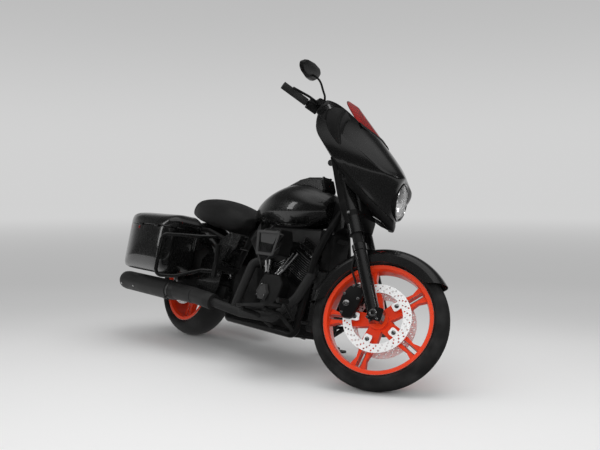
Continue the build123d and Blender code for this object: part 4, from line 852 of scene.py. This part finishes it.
# the dark mouth of a vent at the rear end of each crease
vents = bmesh.new()
for sign in (-1, 1):
    mouth = plate(((-20, -8), (20, -8), (23, 7), (-17, 8)), 3.0, 2.0, 1.0)
    spot = fairing_point(1103, 0.905, 6.0)
    ahead = fairing_point(1103, 0.86, 6.0) - spot
    outward = Vector((-ahead.y, ahead.x, 0))
    local = Matrix.Diagonal((1, sign, 1, 1)) @ facing(spot, outward)
    join(vents, mouth, local)
settle(close(vents), "fairing_vents", trim_plastic, "fork", "trim_plastic")

# ------------------------------------------------------------------ headlamp
reflector = turning(((87.0, -2), (80.0, -22), (66.0, -38), (48.0, -48), (30.0, -53),
                     (15.0, -55), (13.0, -55)), 22)
reflector.transform(lamp_axis)
settle(reflector, "headlamp_reflector", lamp_bowl, "fork", "bright", sharp=4.0)
optics = bmesh.new()
join(optics, turning(((0, -12), (9, -14), (15, -19), (17, -28), (15, -56), (0, -56)), 32),
     lamp_axis)
for angle in (90, 210, 330):
    arm = plate(((16, -2.2), (86, -1.4), (86, 1.4), (16, 2.2)), 7.0, 0.0, 1.0)
    join(optics, arm, lamp_axis @ Matrix.Rotation(math.radians(angle), 4, "Z")
         @ Matrix.Translation((0, 0, -26)))
join(optics, turning(((87.0, -4), (91.0, -4), (91.0, 6), (89.0, 8), (86.5, 5), (87.0, -4)), 96),
     lamp_axis)
settle(optics, "headlamp_optics", bright_metal, "fork", "bright", sharp=30.0)
housing = turning(((0, -70), (70.0, -66), (91.0, -40), (93.0, 4), (91.2, 6), (89.0, -6),
                   (86.0, -36), (66.0, -62), (0, -66)), 64)
housing.transform(lamp_axis)
settle(housing, "headlamp_housing", satin_black, "fork", "satin_black")
glass = turning(((0, 14), (36, 13), (62, 9.5), (79, 4), (87, -3), (87, -6), (84, -5),
                 (76, 0.5), (60, 6.0), (36, 9.6), (0, 10.6)), 96)
glass.transform(lamp_axis)
settle(glass, "headlamp_lens", lamp_glass, "fork", "lamp_glass", "headlamp", sharp=40.0)

# ------------------------------------------------------------------ mirrors
mirror_shape = ((-125, -29), (-75, 12), (7, 41), (92, 56), (125, 42), (113, 6), (70, -33),
                (6, -50), (-82, -56), (-116, -48))
shells = bmesh.new()
glasses = bmesh.new()
for sign, reach in ((-1, 398), (1, 365)):
    # the left one, on the low side of the lean, is set in a little
    face = facing((1036, sign * reach, 1340), (1, 0, 0))
    outline = [(-sign * y * 0.86, z * 0.94) for y, z in mirror_shape]
    shell = plate(outline, 22.0, 9.0, 9.0)
    join(shells, shell, face)
    pane = plate([(x * 0.90, z * 0.90) for x, z in outline], 2.0, 10.0, 0.5)
    join(glasses, pane, facing((1037.2, sign * reach, 1340), (-1, 0, 0))
         @ Matrix.Diagonal((-1, 1, 1, 1)))
    join(shells, pipe([(1126, sign * 290, 1218), (1140, sign * 330, 1236),
                       (1122, sign * (reach - 58), 1262), (1096, sign * (reach - 46), 1308),
                       (1062, sign * (reach - 32), 1326), (1044, sign * (reach - 26), 1328)],
                      5.2))
    join(shells, turning(((0, 0), (11, 0), (11, 9), (8, 14), (6, 22), (0, 22)), 24),
         facing((1117, sign * 292, 1214), (0.1, 0, 1), (0, 1, 0)))
settle(close(shells), "mirror_shells", satin_black, "fork", "satin_black", "mirrors")
settle(close(glasses), "mirror_glasses", mirror_glass, "fork", "bright")

# ------------------------------------------------------------------ engine
CRANK = Vector((985.0, 0.0, 325.0))
BORE_TILT = 22.5
DECK = 118.0
FINS = 10
FIN_PITCH = 10.5
HEAD_FIN_PITCH = 12.0
BARREL_TOP = DECK + FINS * FIN_PITCH
HEAD_TOP = BARREL_TOP + 62.0


def up_bore(tilt, height):
    """A local frame on a cylinder: Z up the bore, X forward, Y to the left."""
    lean = math.radians(tilt)
    along = Vector((math.sin(lean), 0.0, math.cos(lean)))
    turn = Matrix((Vector((along.z, 0.0, -along.x)), Vector((0.0, 1.0, 0.0)), along))
    return Matrix.Translation(CRANK + along * height) @ turn.transposed().to_4x4()


def band_round(wide, deep, corner, width, thick):
    """A flat band that follows a rounded rectangle, lying on its own plane."""
    form = bmesh.new()
    bmesh.ops.create_grid(form, x_segments=1, y_segments=1, size=0.5)
    bmesh.ops.scale(form, vec=(wide, deep, 1.0), verts=form.verts)
    bmesh.ops.bevel(form, geom=form.verts[:], offset=corner, offset_type="OFFSET", segments=6,
                    profile=0.5, affect="VERTICES", material=-1)
    leave_band(form, width, thick)
    moved(form, (0, 0, -min(v.co.z for v in form.verts)))
    return close(form)


for name, way in (("front", 1), ("rear", -1)):
    # the fins' cut edges shine, and one cylinder's stop where the other's begin
    edges = bmesh.new()
    tilt = way * BORE_TILT
    join(edges, band_round(159.4, 177.4, 34.7, 4.0, 2.2),
         *[up_bore(tilt, DECK + 5.9 + fin * FIN_PITCH) for fin in range(3, FINS)])
    join(edges, band_round(165.4, 187.4, 30.7, 4.0, 2.2),
         *[up_bore(tilt, BARREL_TOP + 6.9 + fin * HEAD_FIN_PITCH) for fin in range(4)])
    bmesh.ops.bisect_plane(edges, geom=edges.verts[:] + edges.edges[:] + edges.faces[:],
                           plane_co=(CRANK.x + 2.5 * way, 0, 0), plane_no=(way, 0, 0),
                           clear_inner=True)
    bmesh.ops.holes_fill(edges, edges=[e for e in edges.edges if e.is_boundary], sides=8)
    settle(close(edges), name + "_fin_edges", fin_silver, "chassis", "dull_silver")

    foot = band_round(152.0, 180.0, 25.0, 6.0, 8.0)
    foot.transform(up_bore(tilt, HEAD_TOP - 1.0))
    settle(foot, name + "_rocker_foot", bright_metal, "chassis", "bright")

tubes = bmesh.new()
for low, high in (((978, -140, 449), (1055, -112, 577)), ((889, -140, 449), (825, -112, 532))):
    for step in (-15.0, 15.0):
        base = Vector(low) + Vector((step * 0.8, 0, 0))
        top = Vector(high) + Vector((step * 1.3, 0, 0))
        long = (top - base).length
        join(tubes, turning(((0, 0), (13.0, 0), (13.0, 9.0), (10.5, 11.0), (10.5, long * 0.42),
                             (12.2, long * 0.43), (12.2, long * 0.47), (8.6, long * 0.48),
                             (8.6, long - 9.0), (11.5, long - 8.0), (11.5, long), (0, long)),
                            24), facing(base, top - base))
settle(tubes, "pushrod_sleeves", bright_metal, "chassis", "bright", "pushrod_tubes")

# the timer cover: a six-pointed plate, sunk inside its rim and raised at its middle
timer = bmesh.new()
bmesh.ops.create_cone(timer, cap_ends=True, segments=12, radius1=50.0, radius2=44.0, depth=16.0)
moved(timer, (0, 0, 8.0))
for vert in timer.verts:
    if round(math.degrees(math.atan2(vert.co.y, vert.co.x)) / 30.0) % 2:
        vert.co.xy *= 0.84
hub = bmesh.ops.poke(timer, faces=[sink(timer, 6.0, 3.0, 3.0)])["verts"]
bmesh.ops.translate(timer, verts=hub, vec=(0, 0, 6.0))
ease(timer, [e for e in timer.edges if e.calc_face_angle(0.0) > 0.6], 1.0)
timer.transform(facing((923, -172, 352), (0, -1, 0)))
settle(close(timer), "timer_plate", cover_grey, "chassis", "satin_black", "timer_cover")
rivets = bmesh.new()
join(rivets, turning(((0, 0), (4.4, 0), (4.4, 2.0), (3.2, 3.4), (0, 3.6)), 16),
     *[facing((923, -188.5, 352), (0, -1, 0)) @ place for place in spread(3, 38.0, 90.0)])
settle(rivets, "timer_screws", bright_metal, "chassis", "bright")

# the air cleaner's face: a raised rim round a sunk panel
shield = plate(((-97, 54), (-86, 62), (94, 62), (97, 50), (70, -58), (60, -66), (-72, -66),
                (-80, -56)), 8.0, 9.0, 2.5)
sink(shield, 11.0, 4.0, 5.5)
shield.transform(facing((965, -234, 602), (0, -1, 0)))
settle(close(shield), "air_cleaner_shield", cover_grey, "chassis", "satin_black")

# ------------------------------------------------------------------ exhaust and rear sides
MUFFLER_OUT = 266
MUFFLER_HEIGHT = 258
bands = bmesh.new()
studs = bmesh.new()
for sign in (-1, 1):
    axis = Vector((0, sign * MUFFLER_OUT, MUFFLER_HEIGHT))
    join(bands, turning(((49, 0), (52, 0.5), (53, 2), (53, 18), (52, 19.5), (49, 20), (49, 0)),
                        64), facing(axis + Vector((160, 0, 0)), (1, 0, 0), (0, 0, 1)))
    join(bands, plate(((-9, -8), (9, -8), (9, 8), (-9, 8)), 16.0, 3.0, 1.0),
         facing((170, sign * 306, 216), (0, sign, -1)))
    outward = Vector((0, sign * 0.894, -0.447))
    join(studs, turning(((0, 0), (6.5, 0), (6.5, 1.5), (5.0, 3.0), (0, 3.6)), 20),
         *[facing(axis + Vector((x, 0, 0)) + outward * 57.4, outward)
           for x in (-238.0, -400.0)])
settle(bands, "muffler_bands", dull_silver, "chassis", "dull_silver")
settle(studs, "muffler_studs", bright_metal, "chassis", "bright")

for side, sign in SIDES:
    # a pressed plate closes the side between the fender and the swingarm; it is widened into a dark sheet over the
    # wheel's rim, painted shade where the rim lies in shade under the bag
    # part cover, part painted shade: the outline reaches over the rim to hide its red where shade falls
    strut_and_shade = plate([(-sign * x, z) for x, z in (
        (54, 516), (180, 540), (256, 530), (318, 500), (326, 420), (308, 366), (220, 352),
        (100, 346), (44, 400))], 4.0, 14.0, 1.2)
    sink(strut_and_shade, 12.0, 5.0, 2.5)
    strut_and_shade.transform(facing((0, sign * 118, 0), (0, sign, 0)))
    settle(close(strut_and_shade), "strut_cover_and_shade_plate_" + side, satin_black, "chassis", "satin_black")

# ------------------------------------------------------------------ fork
for side, sign in SIDES:
    # a pressed cover stands behind each upper leg and runs out on the lower one
    cover = plate([(-sign * x, z) for x, z in (
        (1186, 1016), (1225, 945), (1280, 838), (1316, 776), (1368, 700), (1418, 702),
        (1400, 742), (1322, 860), (1262, 960), (1222, 1022))], 26.0, 7.0, 7.0)
    cover.transform(facing((0, sign * 129, 0), (0, sign, 0)))
    settle(cover, "fork_side_cover_" + side, satin_black, "fork", "satin_black")

# ------------------------------------------------------------------ saddlebags
# the brim where the lid lies on the case, and the box that both fill
BRIM = 610.0
SEAM = 2.0
BAG_INNER = 198.0
BAG_FLOOR = 344.0
LID_CROWN = 698.0
BAG_SOFTNESS = 9.0
# height against the rearmost and the foremost place along the machine
BAG_REAR = ((344, -330), (362, -384), (400, -416), (460, -426), (560, -420), (610, -414),
            (632, -404), (654, -366), (676, -290), (698, -190))
BAG_NOSE = ((344, 200), (384, 240), (430, 250), (600, 252), (620, 272), (652, 284),
            (698, 226))
# place along against the outer face, and height against it
BAG_SWEEP = ((-430, 252), (-396, 306), (-330, 360), (-230, 404), (-110, 428), (196, 430),
             (292, 410))
BAG_FLANK = ((344, 378), (392, 418), (470, 430), (600, 434), (612, 434), (640, 430),
             (668, 404), (690, 356), (698, 290))


def bag_outer(along, height):
    return min(on_curve(along, BAG_SWEEP), on_curve(height, BAG_FLANK))


def bag_form(sign):
    """A softly squared case, wider at its front, before its lid is parted from it."""
    form = bmesh.new()
    bmesh.ops.create_cube(form, size=2.0)
    bmesh.ops.subdivide_edges(form, edges=form.edges[:], cuts=15, use_grid_fill=True)
    for vert in form.verts:
        soft = sum(abs(part) ** BAG_SOFTNESS for part in vert.co) ** (1 / BAG_SOFTNESS)
        along, out, up = ((part / soft + 1) / 2 for part in vert.co)
        height = BAG_FLOOR + (LID_CROWN - BAG_FLOOR) * up
        rear, nose = on_curve(height, BAG_REAR), on_curve(height, BAG_NOSE)
        x = rear + (nose - rear) * along
        vert.co = (x, sign * (BAG_INNER + (bag_outer(x, height) - BAG_INNER) * out), height)
    bmesh.ops.recalc_face_normals(form, faces=form.faces[:])
    return form


def parted(form, height, upper):
    """Keep the part of a case above or below its brim."""
    bmesh.ops.bisect_plane(form, geom=form.verts[:] + form.edges[:] + form.faces[:],
                           dist=0.01, plane_co=(0, 0, height), plane_no=(0, 0, 1),
                           clear_inner=upper, clear_outer=not upper)
    return form


for side, sign in SIDES:
    skinned(settle(parted(bag_form(sign), BRIM, False), "bag_shell_" + side, gloss_black,
                   "chassis", "gloss_black", "saddlebag_" + side), 4.0, 1)
    skinned(settle(parted(bag_form(sign), BRIM + SEAM, True), "lid_shell_" + side,
                   gloss_black, "lid_" + side, "gloss_black", "bag_lid_" + side),
            4.0, 1)
    latch = plate([(x * sign, z) for x, z in ((-46, -19), (46, -19), (48, 10), (40, 19),
                                              (-40, 19), (-48, 10))], 7.0, 5.0, 2.0)
    latch.transform(facing((26, sign * 429, 588), (0, sign, 0)))
    settle(latch, "latch_" + side, satin_black, "chassis", "satin_black")
    reflector = plate(((-74, -9), (74, -9), (76, 0), (74, 9), (-74, 9), (-76, 0)), 4.0, 3.0,
                      1.0)
    reflector.transform(facing((-146, sign * 420, 592), (-0.16, sign, 0)))
    settle(reflector, "side_reflector_" + side, lamp_red, "chassis", "lamp_red")
    knuckles = bmesh.new()
    join(knuckles, turning(((0, 0), (5.5, 0), (6.0, 1.0), (6.0, 43.0), (5.5, 44.0), (0, 44.0)),
                           20),
         *[facing((along, sign * 437, 611), (1, 0, 0)) for along in (-82, 118)])
    settle(knuckles, "lid_knuckles_" + side, satin_black, "lid_" + side,
           "satin_black")

# ------------------------------------------------------------------ seat
SEAT_SHRINK = 4.0
SEAT_VOXEL = 7.0
SEAT_SWELL = 7.0
SEAM_DEPTH = 3.2
SEAM_REACH = 5.0
upright = machine.inverted()


def near_run(place, run):
    """The distance from a place to a run of points."""
    best = 1e9
    for start, end in zip(run, run[1:]):
        start, end = Vector(start), Vector(end)
        way = end - start
        part = min(1.0, max(0.0, (place - start).dot(way) / way.length_squared))
        best = min(best, (start + way * part - place).length)
    return best


def stuffed(node, name, finish, body, slot):
    """A padded piece in the space of a solid: remeshed, swollen as cloth, and held back."""
    form = bmesh.new()
    form.from_mesh(frame["nodes"][node].data)
    bmesh.ops.remove_doubles(form, verts=form.verts, dist=0.0004)
    bmesh.ops.recalc_face_normals(form, faces=form.faces)
    form.normal_update()
    for vert in form.verts:
        vert.co -= vert.normal * SEAT_SHRINK * MILLIMETRE
    pad = linked(name, meshed(form, name))
    remesh = pad.modifiers.new("remesh", "REMESH")
    remesh.mode = "VOXEL"
    remesh.voxel_size = SEAT_VOXEL * MILLIMETRE
    applied(pad)
    form = bmesh.new()
    form.from_mesh(pad.data)
    for _ in range(6):
        bmesh.ops.smooth_vert(form, verts=form.verts, factor=0.5, use_axis_x=True,
                              use_axis_y=True, use_axis_z=True)
    form.to_mesh(pad.data)
    form.free()
    rest = [vert.co.copy() for vert in pad.data.vertices]
    cloth = pad.modifiers.new("swell", "CLOTH")
    cloth.settings.use_pressure = True
    cloth.settings.uniform_pressure_force = 4.0
    cloth.settings.effector_weights.gravity = 0.0
    for step in range(1, 21):
        scene.frame_set(step)
    applied(pad)
    scene.frame_set(1)
    limit = SEAT_SWELL * MILLIMETRE
    for vert, start in zip(pad.data.vertices, rest):
        moved = vert.co - start
        if moved.length > limit:
            vert.co = start + moved * (limit / moved.length)
    rounded(pad, 1)
    applied(pad)
    return dress(pad, finish, body, slot, node)


seat = stuffed("seat", "seat_pad", seat_vinyl, "chassis", "seat_vinyl")
# sewn channels: over the seat, from edge to edge
seam_runs = []
for run in (((236, 0, 845), (240, -70, 838), (254, -120, 826), (262, -150, 806),
             (268, -158, 760), (300, -160, 716), (337, -162, 686)),
            ((488, 0, 800), (494, -70, 794), (506, -110, 782), (514, -140, 762),
             (539, -152, 738), (556, -150, 716))):
    seam_runs.append(run)
    seam_runs.append([(x, -y, z) for x, y, z in run])
for vert in seat.data.vertices:
    place = upright @ vert.co
    depth = sum(SEAM_DEPTH * math.exp(-(near_run(place, run) / SEAM_REACH) ** 2)
                for run in seam_runs)
    if depth > 0.05:
        vert.co -= vert.normal * depth * MILLIMETRE
